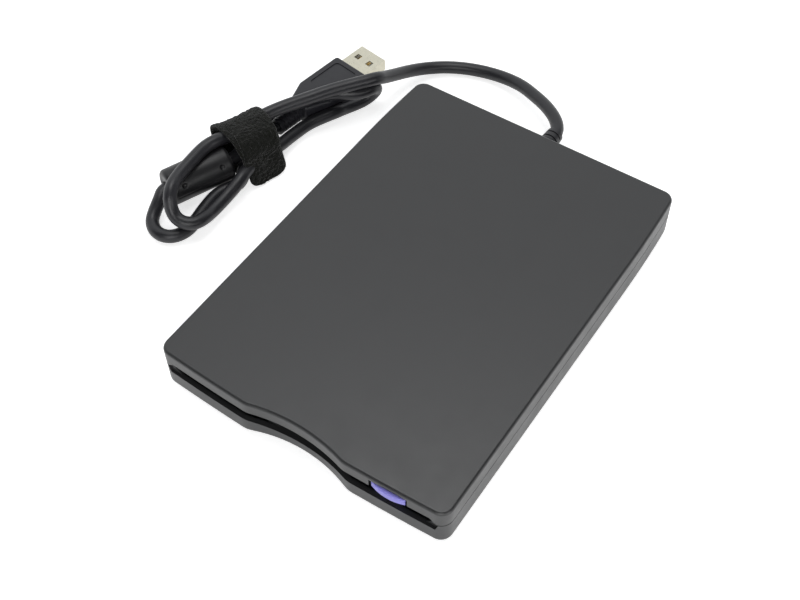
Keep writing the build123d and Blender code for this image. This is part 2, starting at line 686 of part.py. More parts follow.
def label_plan(gap):
    """Plan of the label's recess, or of the label itself with a gap all round."""
    return RectangleRounded(LABEL_W - 2 * gap, LABEL_D - 2 * gap, LABEL_CORNER_R - gap)


def thumb_ramp():
    """Ramp behind the dipped sill, on a rib from the floor."""
    front = SHOULDER_Y + LOWER_SCOOP_DEPTH + RAMP_START
    crest = front + RAMP_RUN
    dip_z = SLOT_SILL_Z - SCOOP_DIP
    root_z = FLOOR_TOP - ROOT
    section = outline(
        (front, dip_z - RAMP_T), (front, dip_z), (crest, SLOT_SILL_Z),
        (crest + RAMP_T, SLOT_SILL_Z), (crest + RAMP_T, root_z),
        (crest, root_z), (crest, SLOT_SILL_Z - RAMP_T),
    )
    return along_x(section, -RAMP_HALF_W, RAMP_HALF_W)


def lower_cover():
    """Floor, side walls, slot sill, thumb ramp, screw posts and studs."""
    shell = slab(case_plan(LOWER_SCOOP_R, LOWER_SCOOP_DEPTH), FOOT_H, SEAM_Z)
    shell = fillet(shell.edges().group_by(Axis.Z)[0], LOWER_EDGE_R)
    inside = case_plan(LOWER_SCOOP_R, LOWER_SCOOP_DEPTH, WALL)
    shell -= slab(inside, FLOOR_TOP, SEAM_Z + OVERCUT)
    tongue = case_plan(LOWER_SCOOP_R, LOWER_SCOOP_DEPTH, WALL - LIP_T) - inside
    shell += slab(tongue, SEAM_Z - ROOT, SEAM_Z + LIP_H)
    shell += thumb_ramp()
    for radius, x, y in posts():
        shell += disc(radius, x, y, FLOOR_TOP - ROOT, SEAM_Z)
        shell -= disc(SCREW_SINK_R, x, y, FOOT_H, FOOT_H + SCREW_SINK + SCREW_HEAD_H)
        shell -= disc(SCREW_HOLE_R, x, y, FOOT_H, SEAM_Z)
    for x, y in both_sides(FRONT_STUD, REAR_STUD):
        shell += disc(STUD_R, x, y, FLOOR_TOP - ROOT, CHASSIS_Z)
        shell -= disc(STUD_SCREW_R, x, y, FLOOR_TOP, CHASSIS_Z)
    for x, y in both_sides((USB_STUD_X, USB_STUD_Y)):
        shell += disc(STUD_R, x, y, FLOOR_TOP - ROOT, USB_BOARD_Z)
        shell -= disc(STUD_SCREW_R, x, y, FLOOR_TOP, USB_BOARD_Z)
    for x, y in foot_spots():
        shell -= disc(FOOT_R, x, y, FOOT_H, FOOT_H + FOOT_RECESS)
    shell -= slab(label_plan(0.0), FOOT_H - OVERCUT, FOOT_H + LABEL_RECESS)
    return shell - slot_cutter() - scoop_dip() - gland_hole()


def top_cover():
    """Roof, upper walls over the seam's groove, the band over the slot and the button notch."""
    shell = slab(case_plan(UPPER_SCOOP_R, UPPER_SCOOP_DEPTH), SEAM_Z, CASE_H)
    shell = fillet(shell.edges().group_by(Axis.Z)[-1], UPPER_EDGE_R)
    groove = rect(-CASE_W, CASE_W, -CASE_D, CASE_D)
    groove -= case_plan(UPPER_SCOOP_R, UPPER_SCOOP_DEPTH, SEAM_GROOVE_D)
    shell -= slab(groove, SEAM_Z, SEAM_Z + SEAM_GROOVE_H)
    inside = case_plan(LOWER_SCOOP_R, LOWER_SCOOP_DEPTH, WALL)
    shell -= slab(inside, SEAM_Z - OVERCUT, ROOF_Z)
    rebate = case_plan(LOWER_SCOOP_R, LOWER_SCOOP_DEPTH, WALL - LIP_T - LIP_GAP)
    shell -= slab(rebate, SEAM_Z - OVERCUT, SEAM_Z + LIP_H + LIP_GAP)
    for radius, x, y in posts():
        shell += tube(radius, SCREW_R, x, y, SEAM_Z, ROOF_Z + ROOT)
    return shell - slot_cutter() - button_notch() - gland_hole()


def rubber_feet():
    """Four round pads set into the lower cover."""
    pad = slab(Circle(FOOT_R - FOOT_SEAT_GAP), 0, FOOT_H + FOOT_RECESS)
    pad = fillet(pad.edges().group_by(Axis.Z)[0], FOOT_EDGE_R)
    return Compound([Pos(x, y, 0) * pad for x, y in foot_spots()])


def rating_label():
    """Blank rating label stuck in its recess under the drive."""
    top = FOOT_H + LABEL_RECESS
    return slab(label_plan(LABEL_GAP), top - LABEL_T, top)


def case_screws():
    """Four self-tapping screws up through the lower cover's posts."""
    head_z = FOOT_H + SCREW_SINK
    half = CROSS_T / 2
    screw = disc(SCREW_HEAD_R, 0, 0, head_z, head_z + SCREW_HEAD_H)
    screw -= block(-CROSS_R, CROSS_R, -half, half, head_z, head_z + CROSS_DEPTH)
    screw -= block(-half, half, -CROSS_R, CROSS_R, head_z, head_z + CROSS_DEPTH)
    screw += disc(SCREW_R, 0, 0, head_z + SCREW_HEAD_H, ROOF_Z - SCREW_TIP_GAP)
    return Compound([Pos(x, y, 0) * screw for _, x, y in posts()])


# ================================================================ eject button and slide
def eject_button():
    """Bulging lens over the slot's right end, on a smaller neck."""
    end_y = BUTTON_WALL_Y + BUTTON_END_SET
    lens_back_y = end_y + BUTTON_LENS_T
    crown = (BUTTON_MID_X, BUTTON_WALL_Y - BUTTON_BULGE)
    with BuildSketch() as plan:
        with BuildLine():
            ThreePointArc((BUTTON_X0, end_y), crown, (BUTTON_X1, end_y))
            Line((BUTTON_X1, end_y), (BUTTON_X1, lens_back_y))
            Line((BUTTON_X1, lens_back_y), (BUTTON_X0, lens_back_y))
            Line((BUTTON_X0, lens_back_y), (BUTTON_X0, end_y))
        make_face()
    lens = slab(plan.sketch, BUTTON_Z0, BUTTON_Z1)
    front = lens.edges().filter_by(lambda e: e.center().Y < end_y + BUTTON_LENS_T / 4)
    neck = block(
        BUTTON_X0 + BUTTON_NECK_IN, BUTTON_X1 - BUTTON_NECK_IN,
        lens_back_y - BUTTON_LENS_T / 2, BUTTON_BACK_Y, BUTTON_Z0, BUTTON_Z1 - BUTTON_NECK_IN,
    )
    return fillet(front, BUTTON_EDGE_R) + neck


def inclined_slot(pin_y, wall):
    """Slanted cam slot that lowers a holder pin as the slide runs forward."""
    run = hypot(EJECT_TRAVEL, DISK_DROP) + 2 * PIN_SLOT_GAP
    tilt = -degrees(atan2(DISK_DROP, EJECT_TRAVEL))
    shape = SlotCenterToCenter(run, 2 * (HOLDER_PIN_R + PIN_SLOT_GAP), rotation=tilt)
    place = Pos(pin_y + EJECT_TRAVEL / 2, HOLDER_PIN_Z - DISK_DROP / 2)
    return along_x(place * shape, *wall)


def slide_plate():
    """Sprung sheet slide: it carries the button and cams the disk holder down."""
    top_z = SLIDE_Z + SHEET_T
    hat = outline(
        (-SLIDE_HALF_W, SLIDE_WALL_Z), (-SLIDE_HALF_W, top_z),
        (SLIDE_HALF_W, top_z), (SLIDE_HALF_W, SLIDE_WALL_Z),
        (SLIDE_WALL_X, SLIDE_WALL_Z), (SLIDE_WALL_X, SLIDE_Z),
        (-SLIDE_WALL_X, SLIDE_Z), (-SLIDE_WALL_X, SLIDE_WALL_Z),
    )
    slide = along_y(hat, SLIDE_Y0, SLIDE_Y1)
    window = Pos(0, SPINDLE_Y - SLIDE_WINDOW_FRONT) * RectangleRounded(*SLIDE_WINDOW, SLIDE_WINDOW_R)
    fork = rect(
        -SLIDE_FORK_HALF_W, SLIDE_FORK_HALF_W,
        SPINDLE_Y + SLIDE_FORK_BACK, SLIDE_Y1 + OVERCUT,
    )
    slide -= slab(window, SLIDE_Z - SHEET_T, top_z + OVERCUT)
    slide -= slab(fork, SLIDE_Z - SHEET_T, top_z + OVERCUT)
    for side in (-1, 1):
        wall = span(side, SLIDE_WALL_X - SHEET_T / 2, SLIDE_HALF_W + SHEET_T / 2)
        for pin_y in HOLDER_PIN_Y:
            slide -= inclined_slot(pin_y, wall)
        seat = span(side, SPRING_X - SPRING_SEAT, SLIDE_HALF_W)
        slide += block(*seat, SLIDE_Y1 - CHASSIS_T, SLIDE_Y1, BASE_TOP + RUN_CLEAR, top_z)
    left = BUTTON_MID_X - SLIDE_TONGUE_HALF_W
    right = BUTTON_MID_X + SLIDE_TONGUE_HALF_W
    return slide + block(left, right, BUTTON_BACK_Y, SLIDE_Y0 + ROOT, SLIDE_Z, top_z)


def eject_springs():
    """Two compression springs that push the slide forward."""
    length = SPRING_L - 2 * SPRING_WIRE_R
    coils = []
    for side in (-1, 1):
        path = Helix(pitch=length / SPRING_TURNS, height=length, radius=SPRING_R)
        section = Plane(path @ 0, z_dir=path % 0) * Circle(SPRING_WIRE_R)
        coil = sweep(section, path=path, is_frenet=True)
        place = Pos(side * SPRING_X, SLIDE_Y1 + SPRING_WIRE_R, SPRING_Z) * Rot(-90, 0, 0)
        coils.append(place * coil)
    return Compound(coils)


# ================================================================ disk holder
def disk_holder():
    """Sheet carrier that takes the disk and lowers it onto the spindle."""
    inner = BAY_HALF_W
    outer = HOLDER_HALF_W
    lip = outer - HOLDER_FLANGE
    top_z = HOLDER_ROOF_Z + SHEET_T
    low_z = HOLDER_FLOOR_Z - SHEET_T
    section = outline(
        (-outer, low_z), (-outer, top_z), (outer, top_z), (outer, low_z), (lip, low_z),
        (lip, HOLDER_FLOOR_Z), (inner, HOLDER_FLOOR_Z), (inner, HOLDER_ROOF_Z),
        (-inner, HOLDER_ROOF_Z), (-inner, HOLDER_FLOOR_Z), (-lip, HOLDER_FLOOR_Z), (-lip, low_z),
    )
    holder = along_y(section, HOLDER_Y0, HOLDER_Y1)
    head_window = rect(
        -HEAD_WINDOW_HALF_W, HEAD_WINDOW_HALF_W,
        HEAD_Y - HEAD_TRAVEL - HEAD_WINDOW_REACH, HOLDER_Y1 + OVERCUT,
    )
    holder -= slab(head_window, HOLDER_ROOF_Z - SHEET_T, top_z + SHEET_T)
    for side in (-1, 1):
        spot = Pos(side * HOLDER_WINDOW_X, SPINDLE_Y + HOLDER_WINDOW_BACK)
        window = spot * RectangleRounded(*HOLDER_WINDOW, SLIDE_WINDOW_R - 1)
        holder -= slab(window, HOLDER_ROOF_Z - SHEET_T, top_z + SHEET_T)
        for pin_y in HOLDER_PIN_Y:
            reach = span(side, outer - SHEET_T / 2, CHASSIS_HALF_W - HOLDER_PIN_TIP)
            holder += rod_x(HOLDER_PIN_R, pin_y, HOLDER_PIN_Z, *reach)
    return holder


# ================================================================ chassis and shield
def chassis():
    """Pressed tray that carries the whole mechanism."""
    half = CHASSIS_HALF_W
    inner = CHASSIS_INNER_X
    over = CHASSIS_TOP + OVERCUT
    rear = CHASSIS_Y1 - CHASSIS_T
    tray = block(-half, half, CHASSIS_Y0, CHASSIS_Y1, CHASSIS_Z, CHASSIS_TOP)
    tray -= block(-inner, inner, CHASSIS_Y0 - OVERCUT, rear, BASE_TOP, over)
    tray -= block(-inner, inner, CHASSIS_Y0, CHASSIS_Y1 + OVERCUT, REAR_WALL_TOP, over)
    low, high = CHASSIS_Z - OVERCUT, BASE_TOP + SHEET_T
    tray -= disc(ROTOR_R + ROTOR_ROOM, 0, SPINDLE_Y, low, high)
    arm_room = ARM_HALF_W + ARM_ROOM
    tray -= block(-arm_room, arm_room, SPINDLE_Y + ROTOR_R, CARRIAGE_Y0 + ARM_ROOM, low, high)
    for x, y in SWITCH_SPOTS:
        tray -= slab(Pos(x, y) * Rectangle(SWITCH_HOLE, SWITCH_HOLE), low, high)
    for x, y in both_sides(FRONT_STUD, REAR_STUD):
        tray -= disc(STUD_SCREW_R + FOOT_SEAT_GAP, x, y, low, high)
    slot_h = DISK_DROP + 2 * PIN_SLOT_GAP
    for side in (-1, 1):
        wall = span(side, inner - CHASSIS_T / 2, half + CHASSIS_T / 2)
        for pin_y in HOLDER_PIN_Y:
            slot = SlotCenterToCenter(slot_h, 2 * (HOLDER_PIN_R + PIN_SLOT_GAP), rotation=90)
            tray -= along_x(Pos(pin_y, HOLDER_PIN_Z - DISK_DROP / 2) * slot, *wall)
        stop = span(side, SPRING_X - SPRING_SEAT, inner + CHASSIS_T / 2)
        tray += block(*stop, SPRING_Y1, SPRING_Y1 + CHASSIS_T, BASE_TOP - CHASSIS_T / 2, REAR_WALL_TOP)
    tray += disc(LATCH_PIN_R, LATCH_X, LATCH_Y, CHASSIS_Z, REAR_WALL_TOP)
    for y in (BRACKET_Y0, CARRIAGE_Y1 + GUIDE_CLIP_T):
        left = GUIDE_X - GUIDE_CHEEK
        right = GUIDE_X + GUIDE_R + FOOT_SEAT_GAP
        tray += block(left, right, y, y + GUIDE_CLIP_T, CHASSIS_Z, BASE_TOP + GUIDE_CLIP_H)
    end = CARRIAGE_Y1 + 2 * GUIDE_CLIP_T
    return tray - rod_y(GUIDE_R, GUIDE_X, GUIDE_Z, BRACKET_Y0 - OVERCUT, end + GUIDE_END)


def top_shield():
    """Thin steel lid over the mechanism, with flanges outside the chassis walls."""
    inner = CHASSIS_HALF_W + SHIELD_GAP
    outer = inner + SHIELD_T
    top_z = CHASSIS_TOP + SHIELD_T
    low_z = CHASSIS_TOP - SHIELD_FLANGE
    hat = outline(
        (-outer, low_z), (-outer, top_z), (outer, top_z), (outer, low_z),
        (inner, low_z), (inner, CHASSIS_TOP), (-inner, CHASSIS_TOP), (-inner, low_z),
    )
    lid = along_y(hat, CHASSIS_Y0 + SHIELD_SET, CHASSIS_Y1 - SHIELD_REAR_SET)
    for side in (-1, 1):
        spot = Pos(side * SHIELD_WINDOW_X, SPINDLE_Y - SPINDLE_R)
        window = spot * RectangleRounded(*SHIELD_WINDOW, SLIDE_WINDOW_R)
        lid -= slab(window, CHASSIS_TOP - SHIELD_T, top_z + SHIELD_T)
    return lid


def guide_rod():
    """Ground rod that the head carriage runs on."""
    end = CARRIAGE_Y1 + 2 * GUIDE_CLIP_T
    return rod_y(GUIDE_R, GUIDE_X, GUIDE_Z, BRACKET_Y0 - GUIDE_END, end)


def chassis_screws():
    """Four low screws that hold the chassis on the lower cover's studs."""
    slot_z = BASE_TOP + STUD_HEAD_H / 2
    half = CROSS_T / 2
    screw = disc(STUD_HEAD_R, 0, 0, BASE_TOP, BASE_TOP + STUD_HEAD_H)
    screw -= block(-CROSS_R, CROSS_R, -half, half, slot_z, slot_z + STUD_HEAD_H)
    screw += disc(STUD_SCREW_R, 0, 0, FLOOR_TOP + SCREW_SINK, BASE_TOP)
    return Compound([Pos(x, y, 0) * screw for x, y in both_sides(FRONT_STUD, REAR_STUD)])


# ================================================================ spindle motor
def motor_board():
    """Front board: spindle motor windings, sensors and the lower bearing."""
    half = CHASSIS_HALF_W - BOARD_SIDE_SET
    front = CHASSIS_Y0 + BOARD_END_SET
    strip_end = front + MOTOR_STRIP_D
    tab_end = SPINDLE_Y + MOTOR_TAB_REACH
    tab = rect(-MOTOR_TAB_HALF_W, MOTOR_TAB_HALF_W, strip_end - OVERCUT, tab_end)
    board = slab(rect(-half, half, front, strip_end) + tab, BOARD_Z, BOARD_TOP)
    for x, y in both_sides(FRONT_STUD):
        board -= disc(STUD_R + POST_HOLE_GAP, x, y, BOARD_Z - OVERCUT, BOARD_TOP + OVERCUT)
    hole_r = SPINDLE_R + SPINDLE_HOLE_GAP
    return board - disc(hole_r, 0, SPINDLE_Y, BOARD_Z - OVERCUT, BOARD_TOP + OVERCUT)


def stator_coils():
    """Ring of flat windings on the motor board."""
    coil = slab(Ellipse(*COIL_R) - Ellipse(*COIL_BORE_R), BOARD_TOP, BOARD_TOP + COIL_T)
    coils = []
    for k in range(COIL_COUNT):
        turn = Pos(0, SPINDLE_Y, 0) * Rot(0, 0, k * 360 / COIL_COUNT)
        coils.append(turn * Pos(COIL_ORBIT, 0, 0) * coil)
    return Compound(coils)


def spindle_bearing():
    """Sintered bush on the motor board."""
    top = ROTOR_Z - BEARING_GAP
    return tube(BEARING_R, SPINDLE_R + RUNNING_GAP, 0, SPINDLE_Y, BOARD_TOP, top)


def spindle_rotor():
    """Steel rotor disc with its rim and shaft."""
    rotor = disc(ROTOR_R, 0, SPINDLE_Y, ROTOR_TOP - ROTOR_PLATE_T, ROTOR_TOP)
    rotor += tube(ROTOR_R, ROTOR_R - ROTOR_RIM_T, 0, SPINDLE_Y, ROTOR_Z - ROTOR_RIM_DROP, ROTOR_TOP)
    rotor += disc(SPINDLE_R + BOSS_T, 0, SPINDLE_Y, ROTOR_Z, ROTOR_TOP)
    rotor += disc(SPINDLE_R, 0, SPINDLE_Y, BOARD_Z + SPINDLE_HOLE_GAP / 2, SPINDLE_TOP)
    for k in range(ROTOR_HOLES):
        turn = Pos(0, SPINDLE_Y, 0) * Rot(0, 0, k * 360 / ROTOR_HOLES)
        hole = disc(ROTOR_LIGHTEN_R, ROTOR_HOLE_ORBIT, 0, ROTOR_Z, ROTOR_TOP + SHEET_T)
        rotor -= turn * hole
    return rotor


def rotor_magnet():
    """Flat ring magnet under the rotor disc."""
    top = ROTOR_TOP - ROTOR_PLATE_T
    return tube(ROTOR_R - ROTOR_RIM_T, MAGNET_INNER_R, 0, SPINDLE_Y, ROTOR_Z, top)


def spindle_hub():
    """Hub that the disk's metal centre sits on, with its drive pin."""
    hub = tube(HUB_R, SPINDLE_R, 0, SPINDLE_Y, ROTOR_TOP, HUB_TOP)
    rim = hub.edges().filter_by(GeomType.CIRCLE).group_by(SortBy.LENGTH)[-1]
    hub = chamfer(rim.sort_by(Axis.Z)[-1], HUB_EDGE)
    pin = disc(DRIVE_PIN_R, DRIVE_PIN_ORBIT, SPINDLE_Y, ROTOR_TOP, SPINDLE_TOP)
    return hub + pin


def switch_bodies():
    """Housings of the disk-in, density and write-protect switches."""
    bodies = []
    for x, y in SWITCH_SPOTS:
        plan = Pos(x, y) * RectangleRounded(SWITCH_W, SWITCH_W, SWITCH_CORNER_R)
        body = slab(plan, BOARD_TOP, SWITCH_TOP)
        bore_r = PLUNGER_R + RUNNING_GAP
        bodies.append(body - disc(bore_r, x, y, BOARD_TOP + PLUNGER_SEAT, SWITCH_TOP + OVERCUT))
    return Compound(bodies)


def plunger(spot):
    """Round-nosed switch plunger."""
    foot_z = BOARD_TOP + PLUNGER_SEAT + PLUNGER_TRAVEL + 2 * RUNNING_GAP
    pin = disc(PLUNGER_R, *spot, foot_z, PLUNGER_TOP)
    return fillet(pin.edges().group_by(Axis.Z)[-1], PLUNGER_NOSE_R)


# ================================================================ head carriage
def head_carriage():
    """Cast carriage: lower arm, bush for the guide rod, ears and screw follower."""
    left = GUIDE_X - GUIDE_CHEEK
    right = CARRIAGE_HALF_W
    body = block(left, right, CARRIAGE_Y0, CARRIAGE_Y1, CARRIAGE_Z0, CARRIAGE_TOP)
    arm_z0 = CHASSIS_Z - ARM_DROP
    root_y = CARRIAGE_Y0 + ROOT
    body += block(-ARM_HALF_W, ARM_HALF_W, HEAD_Y - ARM_NOSE, root_y, arm_z0, arm_z0 + ARM_THICK)
    base = HEAD_PEDESTAL
    body += block(-base, base, HEAD_Y - base, HEAD_Y + base, arm_z0 + ROOT, HEAD_TIP_Z - HEAD_T)
    y0 = CARRIAGE_Y0 + EAR_T
    y1 = y0 + FOLLOWER_D
    top = SCREW_Z + FOLLOWER_HALF_H
    reach = SCREW_X + FOLLOWER_LIP
    body += block(right - ROOT, reach, y0, y1, SCREW_Z - FOLLOWER_HALF_H, top)
    body += block(right - ARM_HALF_W, right, y0, y1, CARRIAGE_TOP - ROOT, top)
    for ear_x in (-ARM_HALF_W - EAR_T, ARM_HALF_W):
        ear = Pos(ARM_PIVOT_Y, ARM_PIVOT_Z) * Circle(EAR_R)
        ear += rect(ARM_PIVOT_Y - EAR_R, ARM_PIVOT_Y + EAR_R, CARRIAGE_TOP - ROOT, ARM_PIVOT_Z)
        body += along_x(ear, ear_x, ear_x + EAR_T)
    pocket = EAR_R + PLUNGER_SEAT
    low = ARM_PIVOT_Z - EAR_R
    body -= block(
        -ARM_HALF_W, ARM_HALF_W, ARM_PIVOT_Y - pocket, ARM_PIVOT_Y + pocket, low, low + 2 * EAR_R + ROOT
    )
    body -= rod_x(PIVOT_R, ARM_PIVOT_Y, ARM_PIVOT_Z, -PIN_HALF_L, PIN_HALF_L)
    bore = GUIDE_R + RUNNING_GAP
    body -= rod_y(bore, GUIDE_X, GUIDE_Z, CARRIAGE_Y0 - OVERCUT, CARRIAGE_Y1 + OVERCUT)
    return body - rod_y(LEAD_R + 2 * RUNNING_GAP, SCREW_X, SCREW_Z, CARRIAGE_Y0, CARRIAGE_Y1)


def lower_head():
    """Ceramic slider on the carriage's arm."""
    plan = Pos(0, HEAD_Y) * RectangleRounded(HEAD_W, HEAD_L, HEAD_CORNER_R)
    tip = slab(plan, HEAD_TIP_Z - HEAD_T, HEAD_TIP_Z)
    return fillet(tip.edges().group_by(Axis.Z)[-1], HEAD_EDGE_R)


def lifted(shape):
    """Turn a piece of the upper arm up from its loaded angle to its rest angle."""
    turn = Pos(0, ARM_PIVOT_Y, ARM_PIVOT_Z) * Rot(-ARM_LIFT_DEG, 0, 0)
    return turn * Pos(0, -ARM_PIVOT_Y, -ARM_PIVOT_Z) * shape


def upper_arm():
    """Sprung upper head arm on its pivot."""
    low = ARM_PIVOT_Z - ARM_T / 2
    wide = ARM_ROOT_HALF_W
    slim = ARM_TIP_HALF_W
    tip_y = HEAD_Y - HEAD_L / 2
    shoulder_y = ARM_PIVOT_Y - ARM_TAPER_RUN
    plan = outline(
        (-wide, ARM_PIVOT_Y + EAR_T), (wide, ARM_PIVOT_Y + EAR_T), (wide, shoulder_y),
        (slim, tip_y), (-slim, tip_y), (-wide, shoulder_y),
    )
    arm = slab(plan, low, low + ARM_T) + rod_x(ARM_HUB_R, ARM_PIVOT_Y, ARM_PIVOT_Z, -wide, wide)
    bore = PIVOT_R + RUNNING_GAP
    return lifted(arm - rod_x(bore, ARM_PIVOT_Y, ARM_PIVOT_Z, -ARM_HALF_W, ARM_HALF_W))


def upper_head():
    """Ceramic slider under the upper arm."""
    top = ARM_PIVOT_Z - ARM_T / 2
    plan = Pos(0, HEAD_Y) * RectangleRounded(HEAD_W, HEAD_L, HEAD_CORNER_R)
    tip = slab(plan, top - UPPER_HEAD_T, top)
    return lifted(fillet(tip.edges().group_by(Axis.Z)[0], HEAD_EDGE_R))


def arm_pin():
    """Steel pin through the carriage ears."""
    return rod_x(PIVOT_R, ARM_PIVOT_Y, ARM_PIVOT_Z, -PIN_HALF_L, PIN_HALF_L)


# ================================================================ stepper
def stepper_bracket():
    """Folded bracket that holds the stepper and the screw's far bearing."""
    y0, y1 = BRACKET_Y0, STEPPER_Y0
    left, right = SCREW_X - BRACKET_HALF_W, SCREW_X + BRACKET_HALF_W
    ear_left, ear_right = SCREW_X - BRACKET_EAR_HALF_W, SCREW_X + BRACKET_EAR_HALF_W
    front_top = SCREW_Z + LEAD_R + EAR_T
    bracket = block(left, right, y0, y1, BASE_TOP, BASE_TOP + BRACKET_BASE_T)
    bracket += block(left, right, y0, y0 + BRACKET_EAR_T, BASE_TOP, front_top)
    ear_top = CHASSIS_TOP - ROOT
    bracket += block(ear_left, ear_right, y1 - BRACKET_EAR_T, y1, BASE_TOP, ear_top)
    journal = LEAD_JOURNAL_R + RUNNING_GAP
    bracket -= rod_y(journal, SCREW_X, SCREW_Z, y0 - OVERCUT, y0 + OVERCUT)
    return bracket - rod_y(LEAD_R + POST_HOLE_GAP, SCREW_X, SCREW_Z, y1 - OVERCUT, y1 + OVERCUT)


def stepper_can():
    """Round can of the stepper motor."""
    can = rod_y(STEPPER_R, SCREW_X, SCREW_Z, STEPPER_Y0, STEPPER_Y1)
    can = fillet(can.edges().filter_by(GeomType.CIRCLE), STEPPER_EDGE_R)
    bore = LEAD_JOURNAL_R + RUNNING_GAP
    return can - rod_y(bore, SCREW_X, SCREW_Z, STEPPER_Y0 - OVERCUT, STEPPER_Y1 - FOLLOWER_D)


def lead_screw():
    """Fine screw that steps the carriage."""
    front = BRACKET_Y0 + BRACKET_EAR_T + HEAD_EDGE_R
    screw = rod_y(LEAD_R, SCREW_X, SCREW_Z, front, STEPPER_Y0 - HEAD_EDGE_R)
    ends = rod_y(LEAD_JOURNAL_R, SCREW_X, SCREW_Z, BRACKET_Y0 - HEAD_EDGE_R, STEPPER_Y0 + STEPPER_R)
    return screw + ends


# ================================================================ latch lever
def latch_lever():
    """Lever that the disk pushes to free the slide."""
    low, high = LATCH_Z, LATCH_Z + LATCH_T
    tip_y = LATCH_Y - LATCH_LENGTH
    arm = outline(
        (LATCH_X - LATCH_ROOT_HALF_W, LATCH_Y), (LATCH_X + LATCH_ROOT_HALF_W, LATCH_Y),
        (LATCH_X + LATCH_TIP_R, tip_y), (LATCH_X - LATCH_TIP_R, tip_y),
    )
    lever = slab(arm, low, high)
    lever += disc(LATCH_TIP_R, LATCH_X, tip_y, low - LATCH_T, high)
    lever += disc(LATCH_BOSS_R, LATCH_X, LATCH_Y, low - LATCH_T, high + LATCH_T / 2)
    tail_y = LATCH_Y + LATCH_TIP_R
    lever += block(LATCH_X - LATCH_TAIL, LATCH_X, tail_y - LATCH_TAIL_W, tail_y, low, high)
    bore = LATCH_PIN_R + RUNNING_GAP
    return lever - disc(bore, LATCH_X, LATCH_Y, low - OVERCUT, high + OVERCUT)


def latch_spring():
    """Torsion spring under the latch lever."""
    foot = (LATCH_X, LATCH_Y, BASE_TOP + SHEET_T)
    path = Helix(LATCH_SPRING_PITCH, LATCH_SPRING_H, LATCH_SPRING_R, center=foot)
    section = Plane(path @ 0, z_dir=path % 0) * Circle(LATCH_WIRE_R)
    return sweep(section, path=path, is_frenet=True)


# ================================================================ boards and leads
def main_board_edges():
    """Plan extent of the rear board: half width, front and rear."""
    half = CHASSIS_HALF_W - BOARD_SIDE_SET
    return half, SPINDLE_Y + MOTOR_TAB_REACH + MAIN_BOARD_SET, CHASSIS_Y1 - BOARD_END_SET


def main_board():
    """Rear board of the drive with the read and stepper electronics."""
    half, front, rear = main_board_edges()
    board = block(-half, half, front, rear, BOARD_Z, BOARD_TOP)
    for x, y in both_sides(REAR_STUD):
        board -= disc(STUD_R + POST_HOLE_GAP, x, y, BOARD_Z - OVERCUT, BOARD_TOP + OVERCUT)
    return board


def chip(x, y, width, depth, base, height):
    """Flat package standing on a board."""
    return slab(Pos(x, y) * Rectangle(width, depth), base, base + height)


def main_chips():
    """Flat packages and passives on the main board."""
    half, front, rear = main_board_edges()
    middle = (front + rear) / 2
    left, right = -half / 2, half / 2
    parts = [chip(left, middle, BIG_CHIP, BIG_CHIP, BOARD_TOP, CHIP_T)]
    parts.append(chip(right, middle, MID_CHIP, MID_CHIP, BOARD_TOP, CHIP_T))
    parts.append(chip(right, front + BIG_CHIP, *SMALL_CHIP, BOARD_TOP, CHIP_T))
    parts.append(chip(left, rear - BIG_CHIP, *SMALL_CHIP, BOARD_TOP, CHIP_T))
    for k in range(5):
        x = left - BIG_CHIP + k * PASSIVE_PITCH
        parts.append(chip(x, front + MID_CHIP, *PASSIVE, BOARD_TOP, CHIP_T))
    return Compound(parts)


def usb_board():
    """Interface board across the rear of the case."""
    half = USB_BOARD_HALF_W
    board = block(-half, half, USB_BOARD_Y0, USB_BOARD_Y1, USB_BOARD_Z, USB_BOARD_TOP)
    hole_r = STUD_SCREW_R + FOOT_SEAT_GAP
    for x, y in both_sides((USB_STUD_X, USB_STUD_Y)):
        board -= disc(hole_r, x, y, USB_BOARD_Z - OVERCUT, USB_BOARD_TOP + OVERCUT)
    return board


def usb_chips():
    """Bridge chip, crystal and passives on the interface board."""
    width = BRIDGE_CHIP_W
    x = -USB_BOARD_HALF_W / 4
    parts = [chip(x, USB_BOARD_MID_Y, width, width, USB_BOARD_TOP, BRIDGE_CHIP_T)]
    can = RectangleRounded(*CRYSTAL, CRYSTAL_R)
    spot = Pos(x - CRYSTAL[0], USB_BOARD_MID_Y)
    parts.append(slab(spot * can, USB_BOARD_TOP, USB_BOARD_TOP + CRYSTAL_T))
    for k in range(4):
        spot_x = (k + 1) * PASSIVE_PITCH
        parts.append(chip(spot_x, USB_BOARD_MID_Y, *PASSIVE, USB_BOARD_TOP, CHIP_T))
    return Compound(parts)


def board_screws():
    """Two screws that hold the interface board."""
    screw = disc(USB_SCREW_HEAD_R, 0, 0, USB_BOARD_TOP, USB_BOARD_TOP + USB_SCREW_HEAD_H)
    screw += disc(STUD_SCREW_R, 0, 0, FLOOR_TOP + SCREW_SINK, USB_BOARD_TOP)
    return Compound([Pos(x, y, 0) * screw for x, y in both_sides((USB_STUD_X, USB_STUD_Y))])


def lead_socket():
    """Four-way socket for the cord's inner leads."""
    socket = chip(SOCKET_X, USB_BOARD_MID_Y, SOCKET_W, SOCKET_D, USB_BOARD_TOP, SOCKET_H)
    width = SOCKET_W - 2 * SOCKET_WALL
    depth = SOCKET_D - 2 * SOCKET_WALL
    base = USB_BOARD_TOP + SOCKET_BASE_T
    return socket - chip(SOCKET_X, USB_BOARD_MID_Y, width, depth, base, SOCKET_H)


